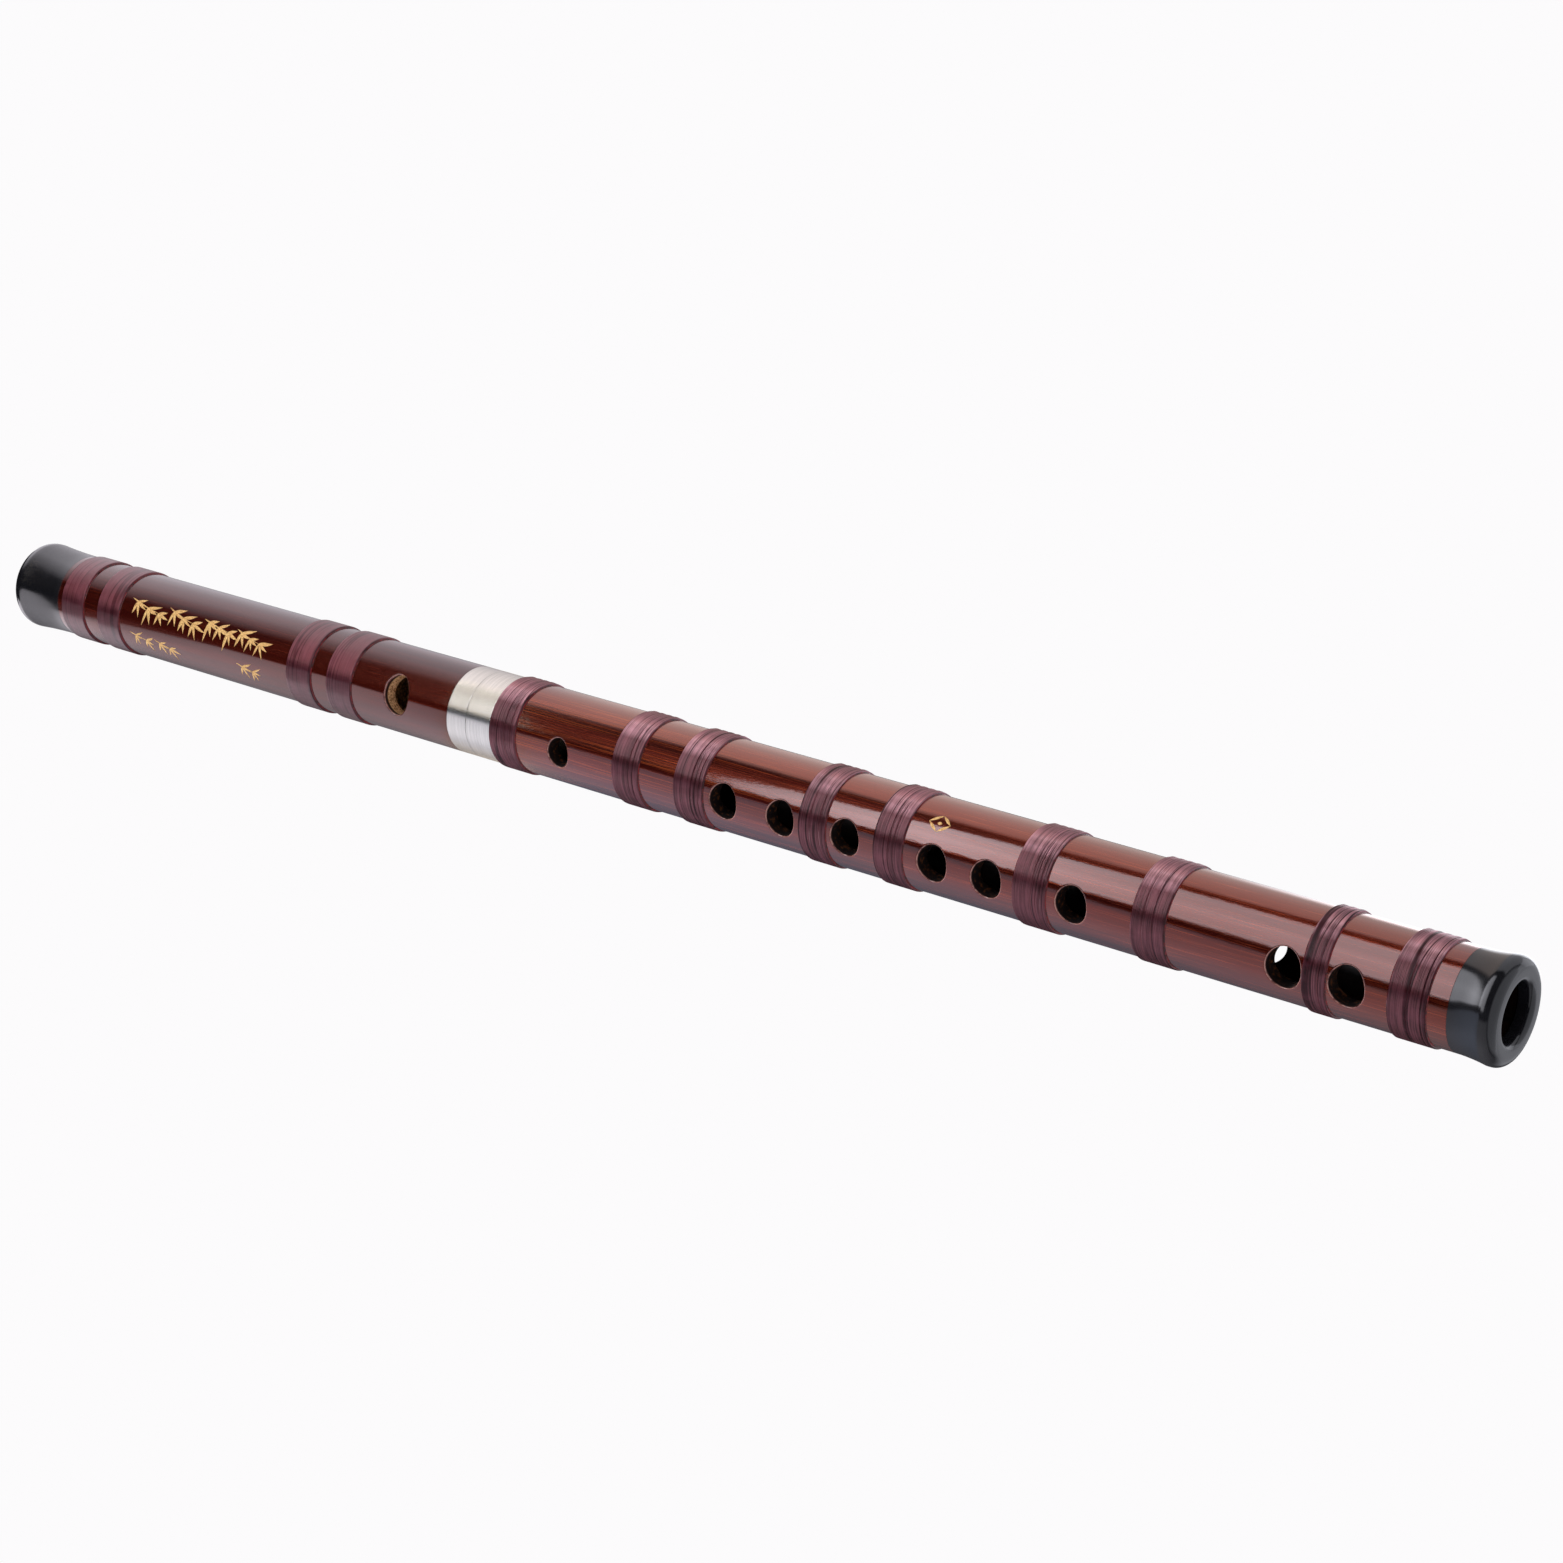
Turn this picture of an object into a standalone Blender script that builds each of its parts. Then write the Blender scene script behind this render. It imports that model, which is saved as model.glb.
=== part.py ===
"""A dizi, the Chinese transverse flute, in lacquered bamboo.

The flute lies along X with its finger holes up. The head end is at -X, the tail end at +X,
and both end caps rest on the plane z = 0. Sizes are in millimetres, and become metres where
the meshes are made. A station is a distance along the flute from its head end.
"""

import math

import bmesh
import bpy
from mathutils import Matrix, Vector

MM = 0.001
CLEARANCE = 0.3

# Bamboo tube
BORE_RADIUS = 7.6
BAMBOO_WALL = 4.5
TUBE_RADIUS = BORE_RADIUS + BAMBOO_WALL
FACETS = 32

# Horn end caps, each glued over a turned-down spigot of the bamboo
HEAD_CAP_LENGTH = 20.4
TAIL_CAP_LENGTH = 11.2
CAP_WALL = 1.7
CAP_END_WALL = 3.8
CAP_FLARE = 0.8
CAP_RIM_BAND = 0.8
CAP_LIP_ROUND = 2.8
CAP_MOUTH_STEP = 0.5
CAP_MOUTH_ROUND = 1.5
CAP_RADIUS = TUBE_RADIUS + CAP_FLARE
CAP_SPIGOT_RADIUS = TUBE_RADIUS - CAP_WALL - CLEARANCE
FLARE_STEPS = 4
LIP_STEPS = 5
MOUTH_STEPS = 3

# Slip joint between the two sections: a tenon in the head section, a socket in the body
HEAD_FERRULE_LENGTH = 6.8
BODY_FERRULE_LENGTH = 8.6
FERRULE_WALL = 0.95
FERRULE_FLANGE = 1.0
FERRULE_BEVEL = 0.15
TENON_WALL = 1.0
TENON_ROOT = 15.5
TENON_REACH = 23.4
TENON_TIP_BEVEL = 0.4
SOCKET_WALL = 0.8
SOCKET_RELIEF = 1.5
TENON_RADIUS = BORE_RADIUS + TENON_WALL
SOCKET_BORE = TENON_RADIUS + CLEARANCE
SOCKET_RADIUS = SOCKET_BORE + SOCKET_WALL
FERRULE_BORE = TUBE_RADIUS - FERRULE_WALL
FERRULE_SPIGOT_RADIUS = FERRULE_BORE - CLEARANCE

# Cork stopper behind the blow hole
STOPPER_TO_BLOW_HOLE = 9.2
STOPPER_LENGTH = 12.0
STOPPER_BEVEL = 0.8

# Holes, each a length along the flute and a width around it
BLOW_HOLE = (8.8, 11.0)
MEMBRANE_HOLE = (6.9, 8.0)
FINGER_HOLE = (8.6, 9.4)
VENT_HOLE = (9.0, 9.9)
BACK_HOLE = (7.6, 8.2)
HOLE_SIZES = {
    "blow_hole": BLOW_HOLE,
    "membrane_hole": MEMBRANE_HOLE,
    "finger_hole": FINGER_HOLE,
    "vent_hole": VENT_HOLE,
    "back_hole": BACK_HOLE,
}
HOLE_SIDES = 24
CUTTER_INSIDE = 3.0
CUTTER_OVERSHOOT = 3.0

# Turn of a hole from the top of the flute towards +Y, in degrees: the head section is shown
# turned to the player, and the back holes lie low on the far side
BLOW_HOLE_TURN = 13.6
BACK_HOLE_TURN = -145.0

# Thread bindings, each one flat strand wound in a shallow seat in the bamboo
SEAT_DEPTH = 0.4
STRAND_LIFT = 0.35
STRAND_HEIGHT = 0.6
STRAND_SLOPE = 0.2
STRAND_GAP = 0.45
LOOP_POINTS = 20
GAP_SAMPLES = 20
SEAT_RADIUS = TUBE_RADIUS - SEAT_DEPTH
STRAND_INSIDE = SEAT_RADIUS + STRAND_LIFT
STRAND_OUTSIDE = STRAND_INSIDE + STRAND_HEIGHT

# Each section is a row of features along the flute: the bare tube before it, its kind, its
# length, and the number of loops where it is a binding
HEAD_BARE_LENGTH = 71.1
BLOW_HOLE_TO_FERRULE = 14.9
VENTS_BARE_LENGTH = 26.45
FOOT_BARE_LENGTH = 4.9
HEAD_ROW = [
    (2.2, "binding", 9.5, 4),
    (6.5, "binding", 9.3, 4),
    (HEAD_BARE_LENGTH, "binding", 9.6, 4),
    (6.4, "binding", 9.5, 4),
    (12.9, "blow_hole", BLOW_HOLE[0], 0),
]
BODY_ROW = [
    (CLEARANCE, "binding", 9.2, 4),
    (11.65, "membrane_hole", MEMBRANE_HOLE[0], 0),
    (15.65, "binding", 8.9, 4),
    (12.0, "binding", 9.6, 4),
    (2.2, "finger_hole", FINGER_HOLE[0], 0),
    (9.8, "finger_hole", FINGER_HOLE[0], 0),
    (1.8, "binding", 8.4, 4),
    (1.5, "finger_hole", FINGER_HOLE[0], 0),
    (4.7, "binding", 8.7, 4),
    (4.4, "finger_hole", FINGER_HOLE[0], 0),
    (7.3, "finger_hole", FINGER_HOLE[0], 0),
    (3.5, "binding", 9.4, 4),
    (2.7, "finger_hole", FINGER_HOLE[0], 0),
    (12.4, "binding", 9.1, 4),
    (VENTS_BARE_LENGTH, "vent_hole", VENT_HOLE[0], 0),
    (0.45, "binding", 5.9, 3),
    (0.6, "vent_hole", VENT_HOLE[0], 0),
    (5.8, "binding", 9.4, 4),
]
# The back holes lie under the bare stretch, counted from the end of the binding before it
BACK_ROW = [
    (1.7, "back_hole", BACK_HOLE[0], 0),
    (4.8, "back_hole", BACK_HOLE[0], 0),
]

SHARP_ANGLE = 32.0
COLOURS = {
    "lacquered_bamboo": ((0.110, 0.018, 0.010), 0.22, 0.0),
    "horn": ((0.012, 0.012, 0.013), 0.20, 0.0),
    "nickel_silver": ((0.68, 0.65, 0.58), 0.30, 1.0),
    "silk_thread": ((0.135, 0.035, 0.042), 0.35, 0.0),
    "cork": ((0.45, 0.27, 0.14), 0.85, 0.0),
}


def lay_out(start, row):
    """The row's features with their start, end and middle, and the station where it ends."""
    placed = []
    station = start
    for gap, kind, length, loops in row:
        station += gap
        placed.append({
            "kind": kind,
            "start": station,
            "middle": station + length / 2,
            "end": station + length,
            "loops": loops,
        })
        station += length
    return placed, station


def only(features, kind):
    return [feature for feature in features if feature["kind"] == kind]


def all_holes(features):
    return [feature for feature in features if feature["kind"] in HOLE_SIZES]


HEAD_FEATURES, HEAD_ROW_END = lay_out(HEAD_CAP_LENGTH, HEAD_ROW)
HEAD_FERRULE_START = HEAD_ROW_END + BLOW_HOLE_TO_FERRULE
SEAM = HEAD_FERRULE_START + HEAD_FERRULE_LENGTH
BODY_FERRULE_START = SEAM + CLEARANCE
BODY_FERRULE_END = BODY_FERRULE_START + BODY_FERRULE_LENGTH
BODY_FEATURES, BODY_ROW_END = lay_out(BODY_FERRULE_END, BODY_ROW)
TAIL_CAP_START = BODY_ROW_END + FOOT_BARE_LENGTH
FLUTE_LENGTH = TAIL_CAP_START + TAIL_CAP_LENGTH
BACK_ROW_START = only(BODY_FEATURES, "vent_hole")[0]["start"] - VENTS_BARE_LENGTH
BACK_FEATURES, BACK_ROW_END = lay_out(BACK_ROW_START, BACK_ROW)
TENON_TIP = SEAM + TENON_REACH
SOCKET_START = BODY_FERRULE_START + FERRULE_FLANGE + CLEARANCE
SOCKET_END = TENON_TIP + SOCKET_RELIEF - CLEARANCE


def new_collection(name):
    collection = bpy.data.collections.new(name)
    bpy.context.scene.collection.children.link(collection)
    return collection


def new_material(name):
    colour, roughness, metallic = COLOURS[name]
    material = bpy.data.materials.new(name)
    material.use_nodes = True
    shader = material.node_tree.nodes["Principled BSDF"]
    shader.inputs["Base Color"].default_value = (*colour, 1.0)
    shader.inputs["Roughness"].default_value = roughness
    shader.inputs["Metallic"].default_value = metallic
    material.diffuse_color = (*colour, 1.0)
    return material


def new_empty(name, parent, location):
    """An empty, linked beside the collections, that carries other pieces."""
    empty = bpy.data.objects.new(name, None)
    empty.empty_display_size = 0.02
    empty.parent = parent
    empty.location = location
    bpy.context.scene.collection.objects.link(empty)
    return empty


class Section:
    """One of the flute's two sections: its empty, at the seam, and the collections it fills."""

    def __init__(self, name, axis, flute, cutters):
        self.empty = new_empty(name, axis, (0.0, 0.0, SEAM * MM))
        self.flute = flute
        self.cutters = cutters

    def add(self, name, mesh, material):
        """A piece whose mesh counts its stations from the head end."""
        mesh.transform(Matrix.Translation((0.0, 0.0, -SEAM * MM)))
        mesh.materials.append(material)
        piece = bpy.data.objects.new(name, mesh)
        piece.parent = self.empty
        self.flute.objects.link(piece)
        return piece

    def add_cutter(self, name, mesh, station, turn):
        """A cutter that points up before its turn, at a station of its own."""
        cutter = bpy.data.objects.new(name, mesh)
        cutter.parent = self.empty
        cutter.location = (0.0, 0.0, (station - SEAM) * MM)
        cutter.rotation_euler = (0.0, 0.0, math.radians(180.0 - turn))
        cutter.hide_render = True
        cutter.display_type = "WIRE"
        self.cutters.objects.link(cutter)
        return cutter


def run_outside_down(outline):
    """The outline in the order whose outer side runs down, so that it turns right side out."""
    area = 0.0
    for (r0, z0), (r1, z1) in zip(outline, outline[1:] + outline[:1]):
        area += r0 * z1 - r1 * z0
    return outline if area < 0 else outline[::-1]


def outline_mesh(name, outline, angle):
    """A closed outline of (radius, station) points, standing at an angle round the axis."""
    vertices = []
    for radius, station in run_outside_down(outline):
        across = radius * math.cos(angle)
        beside = radius * math.sin(angle)
        vertices.append(Vector((across, beside, station)) * MM)
    count = len(vertices)
    edges = [(i, (i + 1) % count) for i in range(count)]
    mesh = bpy.data.meshes.new(name)
    mesh.from_pydata(vertices, edges, [])
    return mesh


def add_screw(piece, steps, loops, pitch):
    """Turn the piece's outline once round, or wind it through loops with a pitch."""
    screw = piece.modifiers.new("turn", "SCREW")
    screw.axis = "Z"
    screw.angle = math.tau
    screw.steps = steps
    screw.render_steps = steps
    screw.iterations = loops
    screw.screw_offset = pitch * MM
    screw.use_merge_vertices = pitch == 0.0
    screw.merge_threshold = 0.00001
    screw.use_smooth_shade = True


def make_plain_mesh(piece):
    """Turn the modifiers into a plain mesh, close a wound strand's ends, keep corners sharp."""
    bpy.context.view_layer.update()
    graph = bpy.context.evaluated_depsgraph_get()
    mesh = bpy.data.meshes.new_from_object(piece.evaluated_get(graph))
    piece.modifiers.clear()
    model = bmesh.new()
    model.from_mesh(mesh)
    open_edges = [edge for edge in model.edges if edge.is_boundary]
    if open_edges:
        bmesh.ops.holes_fill(model, edges=open_edges, sides=0)
        bmesh.ops.recalc_face_normals(model, faces=model.faces)
    model.to_mesh(mesh)
    model.free()
    mesh.shade_smooth()
    mesh.set_sharp_from_angle(angle=math.radians(SHARP_ANGLE))
    piece.data = mesh


def add_turned(section, name, outline, material):
    """A turned piece. Half a facet of turn lays a flat facet underneath."""
    mesh = outline_mesh(name, outline, math.pi / FACETS)
    piece = section.add(name, mesh, material)
    add_screw(piece, FACETS, 1, 0.0)
    return piece


def arc(centre_radius, centre_station, radius, first, last, steps):
    """Points along an arc between two angles in degrees, from the outward direction."""
    points = []
    for i in range(steps + 1):
        angle = math.radians(first + (last - first) * i / steps)
        points.append((
            centre_radius + radius * math.cos(angle),
            centre_station + radius * math.sin(angle),
        ))
    return points


def cap_outline(length):
    """An end cap, from its open edge at 0 to its rounded mouth at its length."""
    mouth = BORE_RADIUS - CAP_MOUTH_STEP
    socket = TUBE_RADIUS - CAP_WALL
    flare_length = length - CAP_LIP_ROUND - CAP_RIM_BAND
    outline = []
    for i in range(FLARE_STEPS + 1):
        share = i / FLARE_STEPS
        outline.append((TUBE_RADIUS + CAP_FLARE * share ** 2, flare_length * share))
    lip_centre = CAP_RADIUS - CAP_LIP_ROUND
    outline += arc(lip_centre, length - CAP_LIP_ROUND, CAP_LIP_ROUND, 0, 90, LIP_STEPS)
    mouth_centre = mouth + CAP_MOUTH_ROUND
    outline += arc(mouth_centre, length - CAP_MOUTH_ROUND, CAP_MOUTH_ROUND, 90, 180, MOUTH_STEPS)
    outline += [(mouth, length - CAP_END_WALL), (socket, length - CAP_END_WALL), (socket, 0.0)]
    return outline


def cap_spigot_length(cap_length):
    return cap_length - CAP_END_WALL - CLEARANCE


def seat_outline(features):
    """The tube's outer side over a section's bindings: a step down and up at each seat."""
    points = []
    for feature in only(features, "binding"):
        start = feature["start"] - CLEARANCE
        end = feature["end"] + CLEARANCE
        points += [(TUBE_RADIUS, start), (SEAT_RADIUS, start)]
        points += [(SEAT_RADIUS, end), (TUBE_RADIUS, end)]
    return points


def head_tube_outline():
    shoulder = HEAD_CAP_LENGTH + CLEARANCE
    spigot_end = HEAD_CAP_LENGTH - cap_spigot_length(HEAD_CAP_LENGTH)
    ferrule_shoulder = HEAD_FERRULE_START - CLEARANCE
    end = SEAM - FERRULE_FLANGE - CLEARANCE
    tenon_floor = SEAM - TENON_ROOT - CLEARANCE
    outline = [(BORE_RADIUS, spigot_end), (CAP_SPIGOT_RADIUS, spigot_end)]
    outline += [(CAP_SPIGOT_RADIUS, shoulder), (TUBE_RADIUS, shoulder)]
    outline += seat_outline(HEAD_FEATURES)
    outline += [(TUBE_RADIUS, ferrule_shoulder), (FERRULE_SPIGOT_RADIUS, ferrule_shoulder)]
    outline += [(FERRULE_SPIGOT_RADIUS, end), (SOCKET_BORE, end)]
    outline += [(SOCKET_BORE, tenon_floor), (BORE_RADIUS, tenon_floor)]
    return outline


def body_tube_outline():
    start = BODY_FERRULE_START + FERRULE_FLANGE + CLEARANCE
    socket_seat = SOCKET_RADIUS + CLEARANCE
    socket_floor = SOCKET_END + CLEARANCE
    ferrule_shoulder = BODY_FERRULE_END + CLEARANCE
    shoulder = TAIL_CAP_START - CLEARANCE
    spigot_end = TAIL_CAP_START + cap_spigot_length(TAIL_CAP_LENGTH)
    outline = [(BORE_RADIUS, socket_floor), (socket_seat, socket_floor), (socket_seat, start)]
    outline += [(FERRULE_SPIGOT_RADIUS, start), (FERRULE_SPIGOT_RADIUS, ferrule_shoulder)]
    # The first binding begins at the ferrule, so its seat has no step down of its own
    outline += [(SEAT_RADIUS, ferrule_shoulder)]
    outline += seat_outline(BODY_FEATURES)[2:]
    outline += [(TUBE_RADIUS, shoulder), (CAP_SPIGOT_RADIUS, shoulder)]
    outline += [(CAP_SPIGOT_RADIUS, spigot_end), (BORE_RADIUS, spigot_end)]
    return outline


def cylinder_mesh(name, sides, matrix):
    """A cylinder of unit diameter and length round Z, put through a matrix."""
    model = bmesh.new()
    bmesh.ops.create_cone(
        model, cap_ends=True, segments=sides, radius1=0.5, radius2=0.5, depth=1.0,
    )
    bmesh.ops.transform(model, matrix=matrix, verts=model.verts)
    mesh = bpy.data.meshes.new(name)
    model.to_mesh(mesh)
    model.free()
    return mesh


def hole_cutter_mesh(name, size):
    """An oval plug along +X: its width lies round the tube and its length along the flute."""
    along, around = size
    outside = TUBE_RADIUS + CUTTER_OVERSHOOT
    depth = outside - CUTTER_INSIDE
    matrix = Matrix.Translation(((CUTTER_INSIDE + depth / 2) * MM, 0.0, 0.0))
    matrix = matrix @ Matrix.Diagonal((depth * MM, around * MM, along * MM, 1.0))
    matrix = matrix @ Matrix.Rotation(math.radians(90.0), 4, "Y")
    return cylinder_mesh(name, HOLE_SIDES, matrix)


def drill(section, tube, features, turn):
    """Cut each hole of a row through the tube's wall."""
    for number, feature in enumerate(all_holes(features), start=1):
        name = "{}_cutter_{:02d}".format(feature["kind"], number)
        mesh = hole_cutter_mesh(name, HOLE_SIZES[feature["kind"]])
        cut = tube.modifiers.new(name, "BOOLEAN")
        cut.operation = "DIFFERENCE"
        cut.solver = "EXACT"
        cut.object = section.add_cutter(name, mesh, feature["middle"], turn)


def add_head_tube(head, material):
    tube = add_turned(head, "head_tube", head_tube_outline(), material)
    drill(head, tube, HEAD_FEATURES, BLOW_HOLE_TURN)


def add_body_tube(body, material):
    tube = add_turned(body, "body_tube", body_tube_outline(), material)
    drill(body, tube, BODY_FEATURES, 0.0)
    drill(body, tube, BACK_FEATURES, BACK_HOLE_TURN)


def add_caps(head, body, material):
    outline = [(r, HEAD_CAP_LENGTH - z) for r, z in cap_outline(HEAD_CAP_LENGTH)]
    add_turned(head, "head_cap", outline, material)
    outline = [(r, TAIL_CAP_START + z) for r, z in cap_outline(TAIL_CAP_LENGTH)]
    add_turned(body, "tail_cap", outline, material)


def ferrule_outline(seam, end):
    """A ring with a flange at the seam, which covers the bamboo's end. It runs to its end."""
    towards_end = math.copysign(1.0, end - seam)
    flange = seam + FERRULE_FLANGE * towards_end
    bevel = seam + FERRULE_BEVEL * towards_end
    return [
        (SOCKET_BORE, seam),
        (TUBE_RADIUS - FERRULE_BEVEL, seam),
        (TUBE_RADIUS, bevel),
        (TUBE_RADIUS, end),
        (FERRULE_BORE, end),
        (FERRULE_BORE, flange),
        (SOCKET_BORE, flange),
    ]


def add_slip_joint(head, body, material):
    add_turned(head, "head_ferrule", ferrule_outline(SEAM, HEAD_FERRULE_START), material)
    outline = ferrule_outline(BODY_FERRULE_START, BODY_FERRULE_END)
    add_turned(body, "body_ferrule", outline, material)
    tenon = [
        (BORE_RADIUS, SEAM - TENON_ROOT),
        (TENON_RADIUS, SEAM - TENON_ROOT),
        (TENON_RADIUS, TENON_TIP - TENON_TIP_BEVEL),
        (TENON_RADIUS - TENON_TIP_BEVEL, TENON_TIP),
        (BORE_RADIUS, TENON_TIP),
    ]
    add_turned(head, "tenon_sleeve", tenon, material)
    socket = [
        (SOCKET_BORE, SOCKET_START),
        (SOCKET_RADIUS, SOCKET_START),
        (SOCKET_RADIUS, SOCKET_END),
        (SOCKET_BORE, SOCKET_END),
    ]
    add_turned(body, "socket_sleeve", socket, material)


def add_stopper(head, material):
    blow_hole = only(HEAD_FEATURES, "blow_hole")[0]
    middle = blow_hole["middle"] - STOPPER_TO_BLOW_HOLE - STOPPER_LENGTH / 2
    width = 2 * (BORE_RADIUS - CLEARANCE) * MM
    matrix = Matrix.Translation((0.0, 0.0, middle * MM))
    matrix = matrix @ Matrix.Diagonal((width, width, STOPPER_LENGTH * MM, 1.0))
    cork = head.add("cork_stopper", cylinder_mesh("cork_stopper", FACETS, matrix), material)
    bevel = cork.modifiers.new("soft_rims", "BEVEL")
    bevel.width = STOPPER_BEVEL * MM
    bevel.segments = 1
    bevel.limit_method = "ANGLE"
    bevel.angle_limit = math.radians(60.0)


def strand_outline(start, pitch):
    """A flat strand's section, one gap narrower than its pitch, with sloping shoulders."""
    end = start + pitch - STRAND_GAP
    return [
        (STRAND_INSIDE, start),
        (STRAND_INSIDE, end),
        (STRAND_OUTSIDE, end - STRAND_SLOPE),
        (STRAND_OUTSIDE, start + STRAND_SLOPE),
    ]


def least_gap(outline, pitch):
    """Least distance from a strand's section to the same section one loop on."""
    samples = []
    for a, b in zip(outline, outline[1:] + outline[:1]):
        for i in range(GAP_SAMPLES):
            samples.append(Vector(a).lerp(Vector(b), i / GAP_SAMPLES))
    one_loop = Vector((0.0, pitch))
    gap = min((p - q - one_loop).length for p in samples for q in samples)
    rise = math.atan2(pitch, math.tau * STRAND_INSIDE)
    return gap * math.cos(rise)


def add_binding(section, name, feature, material):
    """One unbroken strand. Its section counts one strand more than it has loops."""
    length = feature["end"] - feature["start"]
    pitch = (length + STRAND_GAP) / (feature["loops"] + 1)
    outline = strand_outline(feature["start"], pitch)
    piece = section.add(name, outline_mesh(name, outline, 0.0), material)
    add_screw(piece, LOOP_POINTS, feature["loops"], pitch)
    print("{}: least gap to itself {:.2f} mm".format(name, least_gap(outline, pitch)))


def add_bindings(head, body, material):
    """Both sections' bindings, numbered from the head end."""
    bindings = [(head, feature) for feature in only(HEAD_FEATURES, "binding")]
    bindings += [(body, feature) for feature in only(BODY_FEATURES, "binding")]
    for number, (section, feature) in enumerate(bindings, start=1):
        add_binding(section, "thread_binding_{:02d}".format(number), feature, material)


def main():
    for item in list(bpy.data.objects):
        bpy.data.objects.remove(item)
    flute = new_collection("dizi")
    cutters = new_collection("cutters")
    materials = {name: new_material(name) for name in COLOURS}

    # The axis points its own Z along the flute and its own -X up. A facet of each cap's rim
    # lies on the ground.
    rest_height = CAP_RADIUS * math.cos(math.pi / FACETS)
    axis = new_empty("flute_axis", None, (-FLUTE_LENGTH * MM / 2, 0.0, rest_height * MM))
    axis.rotation_euler = (0.0, math.radians(90.0), 0.0)
    head = Section("head_section", axis, flute, cutters)
    body = Section("body_section", axis, flute, cutters)

    add_head_tube(head, materials["lacquered_bamboo"])
    add_body_tube(body, materials["lacquered_bamboo"])
    add_caps(head, body, materials["horn"])
    add_slip_joint(head, body, materials["nickel_silver"])
    add_stopper(head, materials["cork"])
    add_bindings(head, body, materials["silk_thread"])
    for piece in list(flute.objects):
        make_plain_mesh(piece)


main()
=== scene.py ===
import math
import random

import bmesh
import bpy
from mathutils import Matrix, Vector


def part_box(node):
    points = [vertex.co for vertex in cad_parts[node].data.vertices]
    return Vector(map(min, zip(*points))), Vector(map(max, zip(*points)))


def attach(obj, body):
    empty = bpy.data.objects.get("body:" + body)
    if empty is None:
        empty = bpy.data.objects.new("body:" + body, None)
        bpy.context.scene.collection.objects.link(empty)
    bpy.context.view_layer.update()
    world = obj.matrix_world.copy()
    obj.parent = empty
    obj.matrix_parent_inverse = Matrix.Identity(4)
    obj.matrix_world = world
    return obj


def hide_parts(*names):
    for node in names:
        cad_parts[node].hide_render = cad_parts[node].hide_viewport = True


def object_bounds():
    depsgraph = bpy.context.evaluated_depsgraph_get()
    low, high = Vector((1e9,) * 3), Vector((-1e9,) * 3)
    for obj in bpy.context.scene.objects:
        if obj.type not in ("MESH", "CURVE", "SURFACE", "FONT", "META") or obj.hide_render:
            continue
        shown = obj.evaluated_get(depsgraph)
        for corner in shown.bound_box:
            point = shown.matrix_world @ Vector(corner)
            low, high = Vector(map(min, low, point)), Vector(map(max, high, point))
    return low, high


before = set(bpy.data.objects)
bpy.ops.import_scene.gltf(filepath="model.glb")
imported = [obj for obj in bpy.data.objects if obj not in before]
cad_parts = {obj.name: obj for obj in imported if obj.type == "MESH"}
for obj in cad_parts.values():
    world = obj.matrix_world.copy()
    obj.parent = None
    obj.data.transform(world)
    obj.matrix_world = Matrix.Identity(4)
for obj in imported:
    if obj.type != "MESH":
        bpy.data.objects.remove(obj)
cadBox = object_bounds()
print("Frame loaded:", len(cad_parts), "CAD nodes")

# The flute lies along X with its head end at -X and its finger holes up. All sizes below are in
# millimetres. A turn is an angle round the flute from its top towards +Y, in degrees.
# Colours, gloss and lights were matched to one photograph, at its own view. They are not
# measured values of the materials.
millimetre = 0.001
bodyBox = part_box("body_tube")
axisHeight = (bodyBox[0][2] + bodyBox[1][2]) / 2 / millimetre
headEnd = cadBox[0][0] / millimetre
smoothAngle = 38
random.seed(7)


def alongOf(node):
    low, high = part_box(node)
    return low[0] / millimetre, high[0] / millimetre


def onFlute(along, turn, radius):
    across = radius * math.sin(math.radians(turn))
    height = axisHeight + radius * math.cos(math.radians(turn))
    return Vector((along, across, height)) * millimetre


def ringAt(along, radius, around, phase=0.0):
    return [onFlute(along, phase + 360 * j / around, radius) for j in range(around)]


# The face between two rows of points, from point j to the one beside it
def faceBetween(low, high, j, around):
    beside = (j + 1) % around
    return (low * around + j, low * around + beside, high * around + beside, high * around + j)


def hexColour(text):
    channels = [int(text[i:i + 2], 16) / 255 for i in (1, 3, 5)]
    linear = [c / 12.92 if c <= 0.04045 else ((c + 0.055) / 1.055) ** 2.4 for c in channels]
    return (*linear, 1.0)


# Adds a node with what goes into it and its settings. A socket is linked, and so is a node's
# first output; a text is a colour, as it is in a ramp's stops; anything else is a plain value.
def addNode(tree, kind, inputs=None, stops=None, **settings):
    node = tree.nodes.new("ShaderNode" + kind)
    for name, value in settings.items():
        setattr(node, name, value)
    for socket, value in (inputs or {}).items():
        if isinstance(value, bpy.types.Node):
            value = value.outputs[0]
        if isinstance(value, bpy.types.NodeSocket):
            tree.links.new(value, node.inputs[socket])
        else:
            node.inputs[socket].default_value = hexColour(value) if isinstance(value, str) else value
    for i, (place, colour) in enumerate(stops or []):
        ramp = node.color_ramp.elements
        stop = ramp[i] if i < len(ramp) else ramp.new(place)
        stop.position = place
        stop.color = hexColour(colour)
    return node


def newMaterial(name):
    material = bpy.data.materials.new(name)
    material.use_nodes = True
    tree = material.node_tree
    tree.nodes.clear()
    coords = addNode(tree, "TexCoord").outputs["Object"]
    return material, tree, coords


def finished(material, shader):
    addNode(material.node_tree, "OutputMaterial", {"Surface": shader})
    return material


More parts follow.
